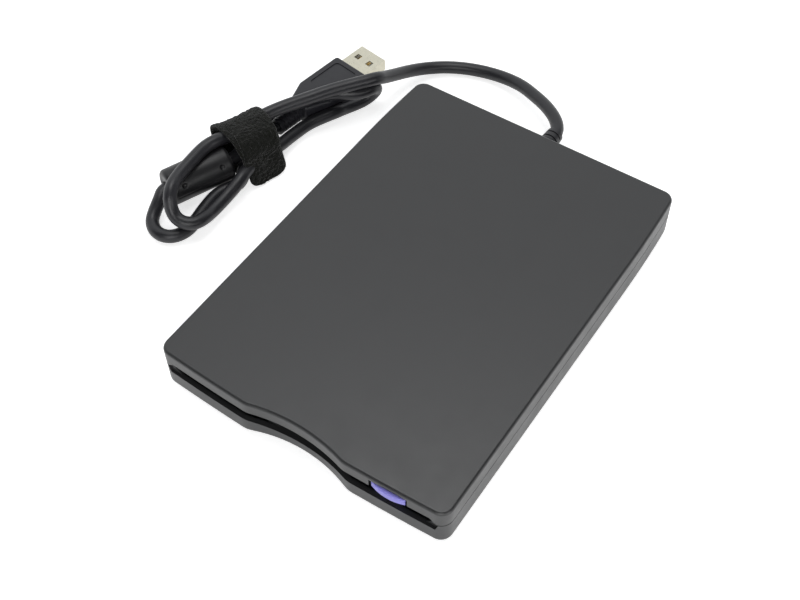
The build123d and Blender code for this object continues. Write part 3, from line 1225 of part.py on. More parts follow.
def ribbon_cable():
    """Flat cable between the drive's board and the interface board."""
    low = BOARD_TOP + RIBBON_LIFT
    high = USB_BOARD_TOP + RIBBON_LIFT
    start = CHASSIS_Y1 - BOARD_END_SET - RIBBON_LAP
    rise = USB_BOARD_Y0 - BOARD_END_SET
    crest = USB_BOARD_Y0 - RIBBON_T
    end = USB_BOARD_Y0 + RIBBON_REAR_LAP
    face = outline(
        (start, low), (rise, low), (crest, high), (end, high), (end, high + RIBBON_T),
        (crest - RIBBON_T, high + RIBBON_T), (rise - RIBBON_T, low + RIBBON_T),
        (start, low + RIBBON_T),
    )
    return along_x(face, *RIBBON_X)


def inner_leads():
    """Four wires from the strain relief to the socket."""
    wires = []
    for k in range(4):
        step = (k - 1.5) * WIRE_PITCH
        x = SOCKET_X + step
        start_x = step / 2
        start_y = REAR_Y - WALL - GLAND_FLANGE_T
        start_z = GLAND_Z + 3 * WIRE_R
        lane_y = start_y - WIRE_BEND_R - (k + 1) * WIRE_R
        drop_y = USB_BOARD_MID_Y
        foot_z = USB_BOARD_TOP + 2 * SOCKET_BASE_T
        points = [(start_x, start_y, start_z), (start_x, lane_y, start_z)]
        points += [(x, drop_y, GLAND_Z), (x, drop_y, foot_z)]
        path = FilletPolyline(*points, radius=WIRE_BEND_R)
        wires.append(sweep(Plane(path @ 0, z_dir=path % 0) * Circle(WIRE_R), path=path))
    return Compound(wires)


# ================================================================ gland, cord and plug
def cable_gland():
    """Ribbed rubber strain relief, trapped in the rear wall."""
    inside = REAR_Y - WALL
    tip = REAR_Y + GLAND_REACH
    profile = outline(
        (0, inside - GLAND_FLANGE_T), (GLAND_FLANGE_R, inside - GLAND_FLANGE_T),
        (GLAND_FLANGE_R, inside), (GLAND_NECK_R, inside), (GLAND_NECK_R, REAR_Y),
        (GLAND_BODY_R, REAR_Y), (GLAND_TIP_R, tip), (0, tip),
    )
    gland = Pos(0, 0, GLAND_Z) * revolve(profile, Axis.Y)
    pitch = (GLAND_REACH - GLAND_COLLAR - GLAND_TIP) / GLAND_RIBS
    far = 2 * GLAND_BODY_R
    core = CORD_R + GLAND_CORE
    for k in range(GLAND_RIBS):
        y0 = REAR_Y + GLAND_COLLAR + k * pitch
        y1 = y0 + pitch / 2
        groove = rod_y(far, 0, GLAND_Z, y0, y1) - rod_y(core, 0, GLAND_Z, y0, y1)
        if k % 2:
            web = block(-far, far, y0, y1, GLAND_Z - far, GLAND_Z + GLAND_WEB)
        else:
            web = block(-far, far, y0, y1, GLAND_Z - GLAND_WEB, GLAND_Z + far)
        gland -= groove - web
    return gland


def cord_points():
    """Corners of the cord's route from the strain relief to the hank."""
    start_y = REAR_Y + GLAND_REACH
    points = [(0, start_y, GLAND_Z), (0, start_y + CORD_FIRST_RUN, GLAND_Z)]
    return points + [(x, REAR_Y + back, CORD_R + lift) for x, back, lift in CORD_ROUTE]


def bend_radii(points):
    """Largest even arcs for a route: 0.45 of the shorter run over tan of half the turn."""
    radii = []
    for before, at, after in zip(points, points[1:], points[2:]):
        incoming = Vector(*at) - Vector(*before)
        outgoing = Vector(*after) - Vector(*at)
        turn = radians(incoming.get_angle(outgoing))
        radii.append(0.45 * min(incoming.length, outgoing.length) / tan(turn / 2))
    return radii


def usb_cord():
    """The cord from the strain relief to the tied hank."""
    points = cord_points()
    path = FilletPolyline(*points, radius=bend_radii(points))
    return sweep(Plane(path @ 0, z_dir=path % 0) * Circle(CORD_R), path=path)


def at_rear(points):
    """Plan points measured from the rear wall, in the model's frame."""
    return [(x, REAR_Y + back) for x, back in points]


def cord_hank():
    """Outer shape of the loops of cord either side of the strap."""
    left = slab(outline(*at_rear(HANK_LEFT)), FLOOR_GAP, HANK_LEFT_H)
    right = slab(outline(*at_rear(HANK_RIGHT)), FLOOR_GAP, HANK_RIGHT_H)
    hank = fillet(left.edges().filter_by(Axis.Z), HANK_CORNER_R)
    hank += fillet(right.edges().filter_by(Axis.Z), HANK_CORNER_R)
    half = STRAP_W / 2
    reach = STRAP_INNER_W
    zone = block(-half, half, -reach, reach, 0, HANK_LEFT_H + OVERCUT)
    hank = hank - strap_frame() * zone + strap_frame() * strap_bar(0)
    return hank - ferrite_outer() - plug_outer() - relief_outer()


def strap_frame():
    """Local frame of the strap: X along the tied strands, Y across, Z up."""
    x, back = STRAP_AT
    return Pos(x, REAR_Y + back, 0) * Rot(0, 0, STRAP_TURN)


def strap_bar(thickness):
    """Bar of the bundle's section, grown by the strap's thickness, in the strap's frame."""
    width = STRAP_INNER_W + 2 * thickness
    height = STRAP_INNER_H + 2 * thickness
    centre_z = FLOOR_GAP + STRAP_T + STRAP_INNER_H / 2
    section = Pos(0, centre_z) * RectangleRounded(width, height, STRAP_CORNER_R + thickness)
    return along_x(section, -STRAP_W / 2, STRAP_W / 2)


def cable_strap():
    """Hook and loop strap round the bundle, with its free end."""
    half = STRAP_W / 2
    end_y = -STRAP_INNER_W / 2 - STRAP_T - STRAP_TAIL
    tail = rect(-half, half, end_y, -STRAP_INNER_W / 4)
    tail = round_corners(tail, both_sides((half, end_y)), STRAP_TAIL_R)
    strap = strap_bar(STRAP_T) + slab(tail, FLOOR_GAP, FLOOR_GAP + STRAP_T)
    return strap_frame() * (strap - strap_bar(0))


def ferrite_length():
    """Length of the interference filter."""
    return hypot(FERRITE_B[0] - FERRITE_A[0], FERRITE_B[1] - FERRITE_A[1])


def ferrite_frame():
    """Frame on the filter's axis: X along it, at its outer end."""
    turn = degrees(atan2(FERRITE_B[1] - FERRITE_A[1], FERRITE_B[0] - FERRITE_A[0]))
    x, back = FERRITE_A
    return Pos(x, REAR_Y + back, FERRITE_R + FLOOR_GAP) * Rot(0, 0, turn)


def ferrite_outer():
    """Outer cylinder of the interference filter."""
    return ferrite_frame() * along_x(Circle(FERRITE_R), 0, ferrite_length())


def ferrite_core():
    """Round moulded interference filter on the cord."""
    body = ferrite_outer()
    body = fillet(body.edges().filter_by(GeomType.CIRCLE), FERRITE_END_R)
    bore = along_x(Circle(CORD_R + FERRITE_BORE_GAP), -OVERCUT, ferrite_length() + OVERCUT)
    return body - ferrite_frame() * bore


def plug_frame():
    """Local frame of the plug: X along it, forward, Y across, Z up, at its front face."""
    x, back = PLUG_FRONT
    return Pos(x, REAR_Y + back, PLUG_Z) * Rot(0, 0, PLUG_TURN)


def plug_outer():
    """Overmould with its straight grip and its taper."""
    half, neck = PLUG_W / 2, PLUG_NECK_W / 2
    back = -PLUG_STRAIGHT - PLUG_TAPER
    plan = outline(
        (0, half), (0, -half), (-PLUG_STRAIGHT, -half),
        (back, -neck), (back, neck), (-PLUG_STRAIGHT, half),
    )
    body = slab(plan, -PLUG_T / 2, PLUG_T / 2)
    body = fillet(body.edges().filter_by(Axis.Z), PLUG_CORNER_R)
    levels = body.edges().group_by(Axis.Z)
    return plug_frame() * fillet(levels[-1] + levels[0], PLUG_EDGE_R)


def relief_outer():
    """Envelope of the bend relief behind the plug."""
    back = -PLUG_STRAIGHT - PLUG_TAPER
    return plug_frame() * along_x(Circle(RELIEF_R), back - RELIEF_L, back)


def usb_plug_body():
    """Rubbery overmould, pocketed for the metal shell."""
    pocket = along_x(Rectangle(USB_W, USB_H), -USB_ROOT, OVERCUT)
    length = PLUG_STRAIGHT - 2 * PLUG_PANEL_SET
    width = PLUG_W - 2 * PLUG_PANEL_SET
    plan = Pos(-PLUG_STRAIGHT / 2, 0) * RectangleRounded(length, width, PLUG_PANEL_R)
    panel = slab(plan, PLUG_T / 2 - PLUG_PANEL, PLUG_T / 2 + OVERCUT)
    return plug_outer() - plug_frame() * pocket - plug_frame() * panel


def usb_strain_relief():
    """Ribbed bend relief moulded on the cord."""
    back = -PLUG_STRAIGHT - PLUG_TAPER
    pitch = RELIEF_L / RELIEF_RIBS
    core = CORD_R + RELIEF_CORE
    points = [(back - RELIEF_L, 0)]
    for k in range(RELIEF_RIBS):
        start = back - RELIEF_L + k * pitch
        end = start + RELIEF_RIB_SHARE * pitch
        points += [(start, RELIEF_R), (end, RELIEF_R), (end, core), (start + pitch, core)]
    points += [(back, 0)]
    return plug_frame() * revolve(outline(*points), Axis.X)


def usb_plug_shell():
    """Folded metal shell of the standard plug with its latch windows."""
    outer = Rectangle(USB_W, USB_H)
    inner = Rectangle(USB_W - 2 * USB_WALL, USB_H - 2 * USB_WALL)
    shell = along_x(outer - inner, -USB_ROOT, USB_L)
    for y in (-USB_WINDOW_Y, USB_WINDOW_Y):
        shell -= slab(Pos(USB_WINDOW_X, y) * Rectangle(*USB_WINDOW), -USB_H, USB_H)
    return plug_frame() * shell


def tongue_low():
    """Underside of the plug's tongue in the plug's frame."""
    return -USB_H / 2 + USB_WALL + USB_TONGUE_GAP


def usb_tongue():
    """Plastic tongue and the filling behind it."""
    half = USB_TONGUE_W / 2
    low = tongue_low()
    tongue = block(-OVERCUT, USB_L - USB_TONGUE_SET, -half, half, low, low + USB_TONGUE_T)
    side = USB_W / 2 - USB_WALL - USB_TONGUE_GAP
    core = block(-USB_ROOT, USB_CORE_L, -side, side, low, -low)
    return plug_frame() * (tongue + core)


def usb_contacts():
    """Four contact strips on the tongue."""
    low = tongue_low() + USB_TONGUE_T
    half = USB_CONTACT_W / 2
    strips = []
    for y, reach in USB_CONTACTS:
        strip = block(USB_CORE_L, reach, y - half, y + half, low, low + USB_CONTACT_T)
        strips.append(plug_frame() * strip)
    return Compound(strips)


PARTS = {
    "lower_cover": lower_cover,
    "top_cover": top_cover,
    "rubber_feet": rubber_feet,
    "rating_label": rating_label,
    "case_screws": case_screws,
    "eject_button": eject_button,
    "slide_plate": slide_plate,
    "eject_springs": eject_springs,
    "disk_holder": disk_holder,
    "chassis": chassis,
    "top_shield": top_shield,
    "guide_rod": guide_rod,
    "chassis_screws": chassis_screws,
    "motor_board": motor_board,
    "stator_coils": stator_coils,
    "spindle_bearing": spindle_bearing,
    "spindle_rotor": spindle_rotor,
    "rotor_magnet": rotor_magnet,
    "spindle_hub": spindle_hub,
    "switch_bodies": switch_bodies,
    "head_carriage": head_carriage,
    "lower_head": lower_head,
    "upper_arm": upper_arm,
    "upper_head": upper_head,
    "arm_pin": arm_pin,
    "stepper_bracket": stepper_bracket,
    "stepper_can": stepper_can,
    "lead_screw": lead_screw,
    "latch_lever": latch_lever,
    "latch_spring": latch_spring,
    "main_board": main_board,
    "main_chips": main_chips,
    "usb_board": usb_board,
    "usb_chips": usb_chips,
    "board_screws": board_screws,
    "lead_socket": lead_socket,
    "ribbon_cable": ribbon_cable,
    "inner_leads": inner_leads,
    "cable_gland": cable_gland,
    "usb_cord": usb_cord,
    "cord_hank": cord_hank,
    "cable_strap": cable_strap,
    "ferrite_core": ferrite_core,
    "usb_plug_body": usb_plug_body,
    "usb_strain_relief": usb_strain_relief,
    "usb_plug_shell": usb_plug_shell,
    "usb_tongue": usb_tongue,
    "usb_contacts": usb_contacts,
}
PLUNGERS = ("disk_in_plunger", "density_plunger", "write_protect_plunger")


def main():
    """Write every sub-part."""
    os.makedirs(OUT, exist_ok=True)
    for node, make in PARTS.items():
        save(node, make())
    for node, spot in zip(PLUNGERS, SWITCH_SPOTS):
        save(node, plunger(spot))


main()
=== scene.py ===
"""Dress of an external floppy disk drive with its captive USB cord.

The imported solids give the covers, the button, the mechanism and the plug, which get their
finishes here. The cord, its strap and its interference filter are modelled in full.
Lengths are in metres unless a name ends in _mm.
"""

import json
import logging
import math
import random
from dataclasses import dataclass, field
from enum import Enum
from typing import Iterable, Sequence

import bpy
from mathutils import Matrix, Vector, noise

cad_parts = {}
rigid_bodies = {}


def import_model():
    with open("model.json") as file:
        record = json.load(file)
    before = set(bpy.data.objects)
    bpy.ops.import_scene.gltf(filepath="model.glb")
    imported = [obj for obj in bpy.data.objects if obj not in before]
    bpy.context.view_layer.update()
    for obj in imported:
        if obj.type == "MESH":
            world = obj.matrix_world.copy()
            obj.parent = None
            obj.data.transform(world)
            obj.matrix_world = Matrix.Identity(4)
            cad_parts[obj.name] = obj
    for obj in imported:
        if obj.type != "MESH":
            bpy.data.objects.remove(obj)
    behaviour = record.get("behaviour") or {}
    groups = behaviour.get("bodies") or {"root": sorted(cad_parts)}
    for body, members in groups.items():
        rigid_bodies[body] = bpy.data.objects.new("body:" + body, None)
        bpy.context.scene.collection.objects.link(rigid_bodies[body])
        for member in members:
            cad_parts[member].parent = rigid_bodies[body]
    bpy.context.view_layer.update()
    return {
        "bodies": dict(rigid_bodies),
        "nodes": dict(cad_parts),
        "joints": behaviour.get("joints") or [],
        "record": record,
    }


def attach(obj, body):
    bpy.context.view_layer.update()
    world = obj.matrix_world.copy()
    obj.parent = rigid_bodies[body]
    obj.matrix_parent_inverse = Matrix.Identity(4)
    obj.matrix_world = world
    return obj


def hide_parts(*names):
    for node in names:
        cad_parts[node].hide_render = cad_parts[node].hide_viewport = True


LOG = logging.getLogger("floppy_drive")
MM = 0.001
ROOT_BODY = "drive_body"
UP = Vector((0.0, 0.0, 1.0))
WHITE = (1.0, 1.0, 1.0)
COAT_ROUGHNESS = 0.2
SHEEN_ROUGHNESS = 0.45
GLOSS_SPREAD = 0.12  # share by which the roughness wanders
GLOSS_PATCH = 0.6  # its patches, as a share of the colour's
ROUND_OFF = 0.01  # in millimetres
RANGE_INPUTS = ("From Min", "From Max", "To Min", "To Max")
Point = tuple[float, float, float]
Colour = tuple[float, float, float]


def metres(points: Iterable[Sequence[float]]) -> list[Vector]:
    """Turns points in millimetres into vectors in metres."""
    return [Vector(p) * MM for p in points]


def half_turn(angle: float) -> float:
    """Brings an angle between minus and plus half a turn."""
    return (angle + math.pi) % (2 * math.pi) - math.pi


# ------------------------------------------------------------------ finishes
class Grain(Enum):
    """The fine structure that a surface shows."""

    SPARK = "spark"
    SMOOTH = "smooth"
    BRUSHED = "brushed"
    CAST = "cast"
    WOUND = "wound"
    PILE = "pile"


class NodeSheet:
    """A material's node tree, with short calls to fill it."""

    def __init__(self, name: str) -> None:
        """Starts an empty material.

        Args:
            name: the material's name.
        """
        self.material = bpy.data.materials.new(name)
        self.material.use_nodes = True
        self.tree = self.material.node_tree
        self.tree.nodes.clear()
        self.output = self.tree.nodes.new("ShaderNodeOutputMaterial")
        self.shader = self.add("ShaderNodeBsdfPrincipled")
        self.link(self.shader.outputs["BSDF"], self.output.inputs["Surface"])
        self.place = self.add("ShaderNodeTexCoord").outputs["Object"]

    def add(self, kind: str, **settings: object) -> bpy.types.Node:
        """Adds a node.

        Args:
            kind: Blender's name of the node type.
            settings: attributes to set on it.

        Returns:
            The new node.
        """
        node = self.tree.nodes.new(kind)
        for key, value in settings.items():
            setattr(node, key, value)
        return node

    def link(self, out: bpy.types.NodeSocket, into: bpy.types.NodeSocket) -> None:
        """Joins two sockets."""
        self.tree.links.new(out, into)

    def stretched(self, scale: Point) -> bpy.types.NodeSocket:
        """Gives the object coordinates, scaled along each axis."""
        mapping = self.add("ShaderNodeMapping")
        mapping.inputs["Scale"].default_value = scale
        self.link(self.place, mapping.inputs["Vector"])
        return mapping.outputs["Vector"]

    def noise(
        self,
        size_mm: float,
        detail: float = 3.0,
        rough: float = 0.55,
        vector: bpy.types.NodeSocket | None = None,
    ) -> bpy.types.NodeSocket:
        """Adds a noise pattern.

        Args:
            size_mm: width of its largest patches.
            detail: octaves.
            rough: strength of the finer octaves.
            vector: coordinates, or None for the object's own.

        Returns:
            The pattern's value, from 0 to 1.
        """
        node = self.add("ShaderNodeTexNoise")
        node.inputs["Scale"].default_value = 1.0 / (size_mm * MM)
        node.inputs["Detail"].default_value = detail
        node.inputs["Roughness"].default_value = rough
        self.link(vector or self.place, node.inputs["Vector"])
        return node.outputs["Fac"]

    def cells(self, size_mm: float, feature: str = "F1") -> bpy.types.NodeSocket:
        """Adds a cell pattern and gives its distance."""
        node = self.add("ShaderNodeTexVoronoi", feature=feature)
        node.inputs["Scale"].default_value = 1.0 / (size_mm * MM)
        self.link(self.place, node.inputs["Vector"])
        return node.outputs["Distance"]

    def spread(
        self,
        value: bpy.types.NodeSocket,
        low: float,
        high: float,
        start: float = 0.3,
        end: float = 0.7,
    ) -> bpy.types.NodeSocket:
        """Maps a pattern to a range.

        Args:
            value: the pattern.
            low: result where the pattern is at start.
            high: result where it is at end.
            start: lower value of the pattern.
            end: upper value of the pattern.

        Returns:
            The mapped value.
        """
        node = self.add("ShaderNodeMapRange")
        for name, number in zip(RANGE_INPUTS, (start, end, low, high)):
            node.inputs[name].default_value = number
        self.link(value, node.inputs["Value"])
        return node.outputs["Result"]

    def blend(
        self, factor: bpy.types.NodeSocket, first: Colour, second: Colour
    ) -> bpy.types.NodeSocket:
        """Mixes two colours by a pattern.

        Args:
            factor: the pattern, from 0 to 1.
            first: colour where the pattern is 0.
            second: colour where it is 1.

        Returns:
            The mixed colour.
        """
        node = self.add("ShaderNodeMix", data_type="RGBA")
        node.inputs["A"].default_value = (*first, 1.0)
        node.inputs["B"].default_value = (*second, 1.0)
        self.link(factor, node.inputs["Factor"])
        return node.outputs["Result"]

    def relief(self, steps: Sequence[tuple[bpy.types.NodeSocket, float]]) -> None:
        """Chains bump maps onto the shader.

        Args:
            steps: patterns with the height in millimetres that each stands for.
        """
        normal = None
        for value, height_mm in steps:
            node = self.add("ShaderNodeBump")
            node.inputs["Strength"].default_value = 1.0
            node.inputs["Distance"].default_value = height_mm * MM
            self.link(value, node.inputs["Height"])
            if normal is not None:
                self.link(normal, node.inputs["Normal"])
            normal = node.outputs["Normal"]
        if normal is not None:
            self.link(normal, self.shader.inputs["Normal"])


@dataclass(frozen=True)
class Finish:
    """A surface finish, from its colour down to its grain.

    Attributes:
        name: the material's name.
        colour: main linear colour.
        roughness: middle of the gloss range.
        metal: 1 for bare metal.
        grain: kind of fine structure.
        grain_mm: size of that structure.
        depth_mm: its height.
        mottle: share by which the colour varies.
        mottle_mm: size of the colour patches.
        specular: strength of the reflection of a non-metal.
        coat: strength of a clear top layer.
        sheen: strength of a soft fibre edge glow.
    """

    name: str
    colour: Colour
    roughness: float
    metal: float = 0.0
    grain: Grain = Grain.SMOOTH
    grain_mm: float = 0.4
    depth_mm: float = 0.01
    mottle: float = 0.08
    mottle_mm: float = 9.0
    specular: float = 0.5
    coat: float = 0.0
    sheen: float = 0.0

    def material(self) -> bpy.types.Material:
        """Builds the material.

        Returns:
            The finished material.
        """
        sheet = NodeSheet(self.name)
        shader = sheet.shader
        shader.inputs["Metallic"].default_value = self.metal
        shader.inputs["Specular IOR Level"].default_value = self.specular
        shader.inputs["Coat Weight"].default_value = self.coat
        shader.inputs["Coat Roughness"].default_value = COAT_ROUGHNESS
        shader.inputs["Sheen Weight"].default_value = self.sheen
        shader.inputs["Sheen Roughness"].default_value = SHEEN_ROUGHNESS
        darker = tuple(c * (1.0 - self.mottle) for c in self.colour)
        lighter = tuple(min(1.0, c * (1.0 + self.mottle)) for c in self.colour)
        patches = sheet.spread(sheet.noise(self.mottle_mm, 4.0), 0.0, 1.0)
        sheet.link(sheet.blend(patches, darker, lighter), shader.inputs["Base Color"])
        wear = sheet.spread(
            sheet.noise(self.mottle_mm * GLOSS_PATCH, 5.0),
            self.roughness * (1.0 - GLOSS_SPREAD),
            self.roughness * (1.0 + GLOSS_SPREAD),
        )
        sheet.link(wear, shader.inputs["Roughness"])
        sheet.relief(self.structure(sheet))
        return sheet.material

    def structure(self, sheet: NodeSheet) -> list[tuple[bpy.types.NodeSocket, float]]:
        """Makes the patterns of the fine structure.

        Args:
            sheet: the node tree to fill.

        Returns:
            Patterns with their heights in millimetres.
        """
        size, depth = self.grain_mm, self.depth_mm
        if self.grain is Grain.SPARK:
            fine, broad = sheet.noise(size, 2.0, 0.6), sheet.noise(size * 6.0, 2.0)
            return [(fine, depth), (broad, depth * 0.8)]
        if self.grain is Grain.BRUSHED:
            drawn = sheet.stretched((1.0, 0.06, 1.0))
            return [(sheet.noise(size, 3.0, 0.7, drawn), depth)]
        if self.grain is Grain.CAST:
            return [
                (sheet.cells(size, "SMOOTH_F1"), depth),
                (sheet.noise(size * 0.5), depth * 0.5),
            ]
        if self.grain is Grain.WOUND:
            rings = sheet.stretched((0.2, 0.2, 3.0))
            return [(sheet.noise(size, 1.0, 0.5, rings), depth)]
        if self.grain is Grain.PILE:
            return [
                (sheet.cells(size), depth),
                (sheet.noise(size * 2.5, 4.0, 0.7), depth * 1.5),
            ]
        return [(sheet.noise(size, 2.0), depth)]


@dataclass(frozen=True)
class BoardFinish(Finish):
    """Solder mask over copper tracks."""

    track_mm: float = 1.4
    randomness: float = 0.35
    track_edge: tuple[float, float] = (0.08, 0.14)

    def structure(self, sheet: NodeSheet) -> list[tuple[bpy.types.NodeSocket, float]]:
        """Adds the tracks to the mask as low steps.

        Args:
            sheet: the node tree to fill.

        Returns:
            The one pattern with its height in millimetres.
        """
        steps = sheet.add("ShaderNodeTexVoronoi", feature="DISTANCE_TO_EDGE")
        steps.inputs["Scale"].default_value = 1.0 / (self.track_mm * MM)
        steps.inputs["Randomness"].default_value = self.randomness
        sheet.link(sheet.place, steps.inputs["Vector"])
        tracks = sheet.spread(steps.outputs["Distance"], 0.0, 1.0, *self.track_edge)
        return [(tracks, self.depth_mm)]


CASE_PLASTIC = Finish(
    "case_plastic", (0.0225, 0.0228, 0.0235), 0.36, grain=Grain.SPARK,
    grain_mm=0.5, depth_mm=0.014, mottle=0.012, mottle_mm=14.0, specular=0.60,
)
BUTTON_PLASTIC = Finish(
    "button_plastic", (0.26, 0.24, 0.72), 0.30, grain=Grain.SPARK,
    grain_mm=0.5, depth_mm=0.003, mottle=0.04, mottle_mm=4.0,
)
CORD_JACKET = Finish(
    "cord_jacket", (0.016, 0.016, 0.019), 0.38, grain=Grain.SPARK,
    grain_mm=0.7, depth_mm=0.012, mottle=0.12, mottle_mm=6.0,
)
STRAP_PILE = Finish(
    "strap_fabric", (0.0060, 0.0066, 0.0048), 0.92, grain=Grain.PILE,
    grain_mm=0.45, depth_mm=0.25, mottle=0.4, mottle_mm=1.2, specular=0.15, sheen=0.25,
)
STRAP_LINT = Finish("strap_lint", (0.55, 0.56, 0.55), 0.8, mottle=0.2, mottle_mm=1.0)
FILTER_PLASTIC = Finish(
    "filter_plastic", (0.007, 0.007, 0.008), 0.42, grain=Grain.SPARK,
    grain_mm=0.5, depth_mm=0.008,
)
PLUG_OVERMOULD = Finish(
    "plug_overmould", (0.020, 0.020, 0.025), 0.46, grain=Grain.SPARK,
    grain_mm=0.35, depth_mm=0.012,
)
PLUG_STEEL = Finish(
    "plug_steel", (0.68, 0.65, 0.53), 0.30, metal=1.0, grain=Grain.BRUSHED,
    grain_mm=0.5, depth_mm=0.004, mottle=0.05, mottle_mm=2.0,
)
FINISHES: dict[str, Finish] = {
    finish.name: finish
    for finish in (
        CASE_PLASTIC,
        BUTTON_PLASTIC,
        CORD_JACKET,
        STRAP_PILE,
        FILTER_PLASTIC,
        PLUG_OVERMOULD,
        PLUG_STEEL,
        Finish("foot_rubber", (0.022, 0.022, 0.022), 0.72, grain=Grain.SPARK, grain_mm=0.3),
        Finish("label_film", (0.50, 0.50, 0.49), 0.42, mottle=0.03, depth_mm=0.004),
        Finish("screw_steel", (0.20, 0.20, 0.21), 0.34, metal=1.0, grain_mm=0.3),
        Finish("spring_steel", (0.52, 0.52, 0.53), 0.26, metal=1.0, grain=Grain.WOUND),
        Finish(
            "pressed_steel", (0.55, 0.56, 0.57), 0.34, metal=1.0, grain=Grain.BRUSHED,
            grain_mm=0.6, depth_mm=0.004, mottle=0.10, mottle_mm=7.0,
        ),
        Finish(
            "ground_steel", (0.66, 0.66, 0.67), 0.16, metal=1.0, grain=Grain.WOUND,
            grain_mm=0.3, depth_mm=0.001,
        ),
        Finish(
            "cast_alloy", (0.46, 0.47, 0.48), 0.45, metal=1.0, grain=Grain.CAST,
            grain_mm=0.7, depth_mm=0.02,
        ),
        Finish(
            "bearing_bronze", (0.45, 0.30, 0.14), 0.5, metal=1.0, grain=Grain.CAST, grain_mm=0.25,
        ),
        Finish("magnet_ferrite", (0.03, 0.03, 0.032), 0.6, grain=Grain.CAST),
        Finish(
            "coil_copper", (0.52, 0.20, 0.08), 0.3, metal=1.0, grain=Grain.WOUND,
            grain_mm=0.3, depth_mm=0.05,
        ),
        BoardFinish("board_green", (0.015, 0.10, 0.045), 0.35, depth_mm=0.03, mottle=0.15),
        Finish("chip_black", (0.02, 0.02, 0.021), 0.55, grain=Grain.SPARK, grain_mm=0.2),
        Finish(
            "head_ceramic", (0.10, 0.09, 0.08), 0.12, grain_mm=0.5, depth_mm=0.001, coat=0.5,
        ),
        Finish("socket_white", (0.72, 0.71, 0.65), 0.45, depth_mm=0.004),
        Finish(
            "ribbon_film", (0.58, 0.60, 0.64), 0.3, grain=Grain.BRUSHED,
            grain_mm=0.8, depth_mm=0.05,
        ),
        Finish("lead_insulation", (0.42, 0.03, 0.02), 0.4, mottle=0.1, mottle_mm=3.0),
        Finish("tongue_plastic", (0.76, 0.75, 0.70), 0.4, depth_mm=0.004),
        Finish(
            "contact_gold", (0.78, 0.56, 0.24), 0.22, metal=1.0, grain_mm=0.2, depth_mm=0.001,
        ),
    )
}


class Wardrobe:
    """Keeps one material per finish and dresses pieces with it."""

    def __init__(self, record: dict) -> None:
        """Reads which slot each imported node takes.

        Args:
            record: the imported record.
        """
        self.made: dict[str, bpy.types.Material] = {}
        self.slots = {part["node"]: part["material_slot"] for part in record["subparts"]}

    def get(self, finish: Finish) -> bpy.types.Material:
        """Gives the finish's material, built at first use."""
        if finish.name not in self.made:
            self.made[finish.name] = finish.material()
        return self.made[finish.name]

    def dress_nodes(self, nodes: dict[str, bpy.types.Object]) -> None:
        """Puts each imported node's own finish on it.

        Args:
            nodes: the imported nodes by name.
        """
        for name, obj in nodes.items():
            material = self.get(FINISHES[self.slots[name]])
            for slot in obj.material_slots:
                slot.material = material
            LOG.info("dressed %s in %s", name, material.name)


# ------------------------------------------------------------------ mesh building
def new_mesh(
    name: str,
    verts: Sequence[Vector],
    faces: Sequence[Sequence[int]],
    material: bpy.types.Material,
) -> bpy.types.Object:
    """Makes a mesh object in the scene.

    Args:
        name: the piece's name.
        verts: its vertices in metres.
        faces: vertex numbers of its faces.
        material: its finish.

    Returns:
        The new object.
    """
    mesh = bpy.data.meshes.new(name)
    mesh.from_pydata([tuple(v) for v in verts], [], [tuple(f) for f in faces])
    mesh.update()
    mesh.materials.append(material)
    for polygon in mesh.polygons:
        polygon.use_smooth = True
    obj = bpy.data.objects.new(name, mesh)
    bpy.context.scene.collection.objects.link(obj)
    return obj


def grid_faces(rows: int, columns: int, wrap: bool) -> list[tuple[int, int, int, int]]:
    """Lists the quads of a grid of vertices stored row by row.

    Args:
        rows: number of rows.
        columns: vertices per row.
        wrap: whether the last column joins the first.

    Returns:
        Vertex numbers of each quad.
    """
    faces = []
    for r in range(rows - 1):
        for c in range(columns if wrap else columns - 1):
            near, far, d = r * columns, (r + 1) * columns, (c + 1) % columns
            faces.append((near + c, near + d, far + d, far + c))
    return faces


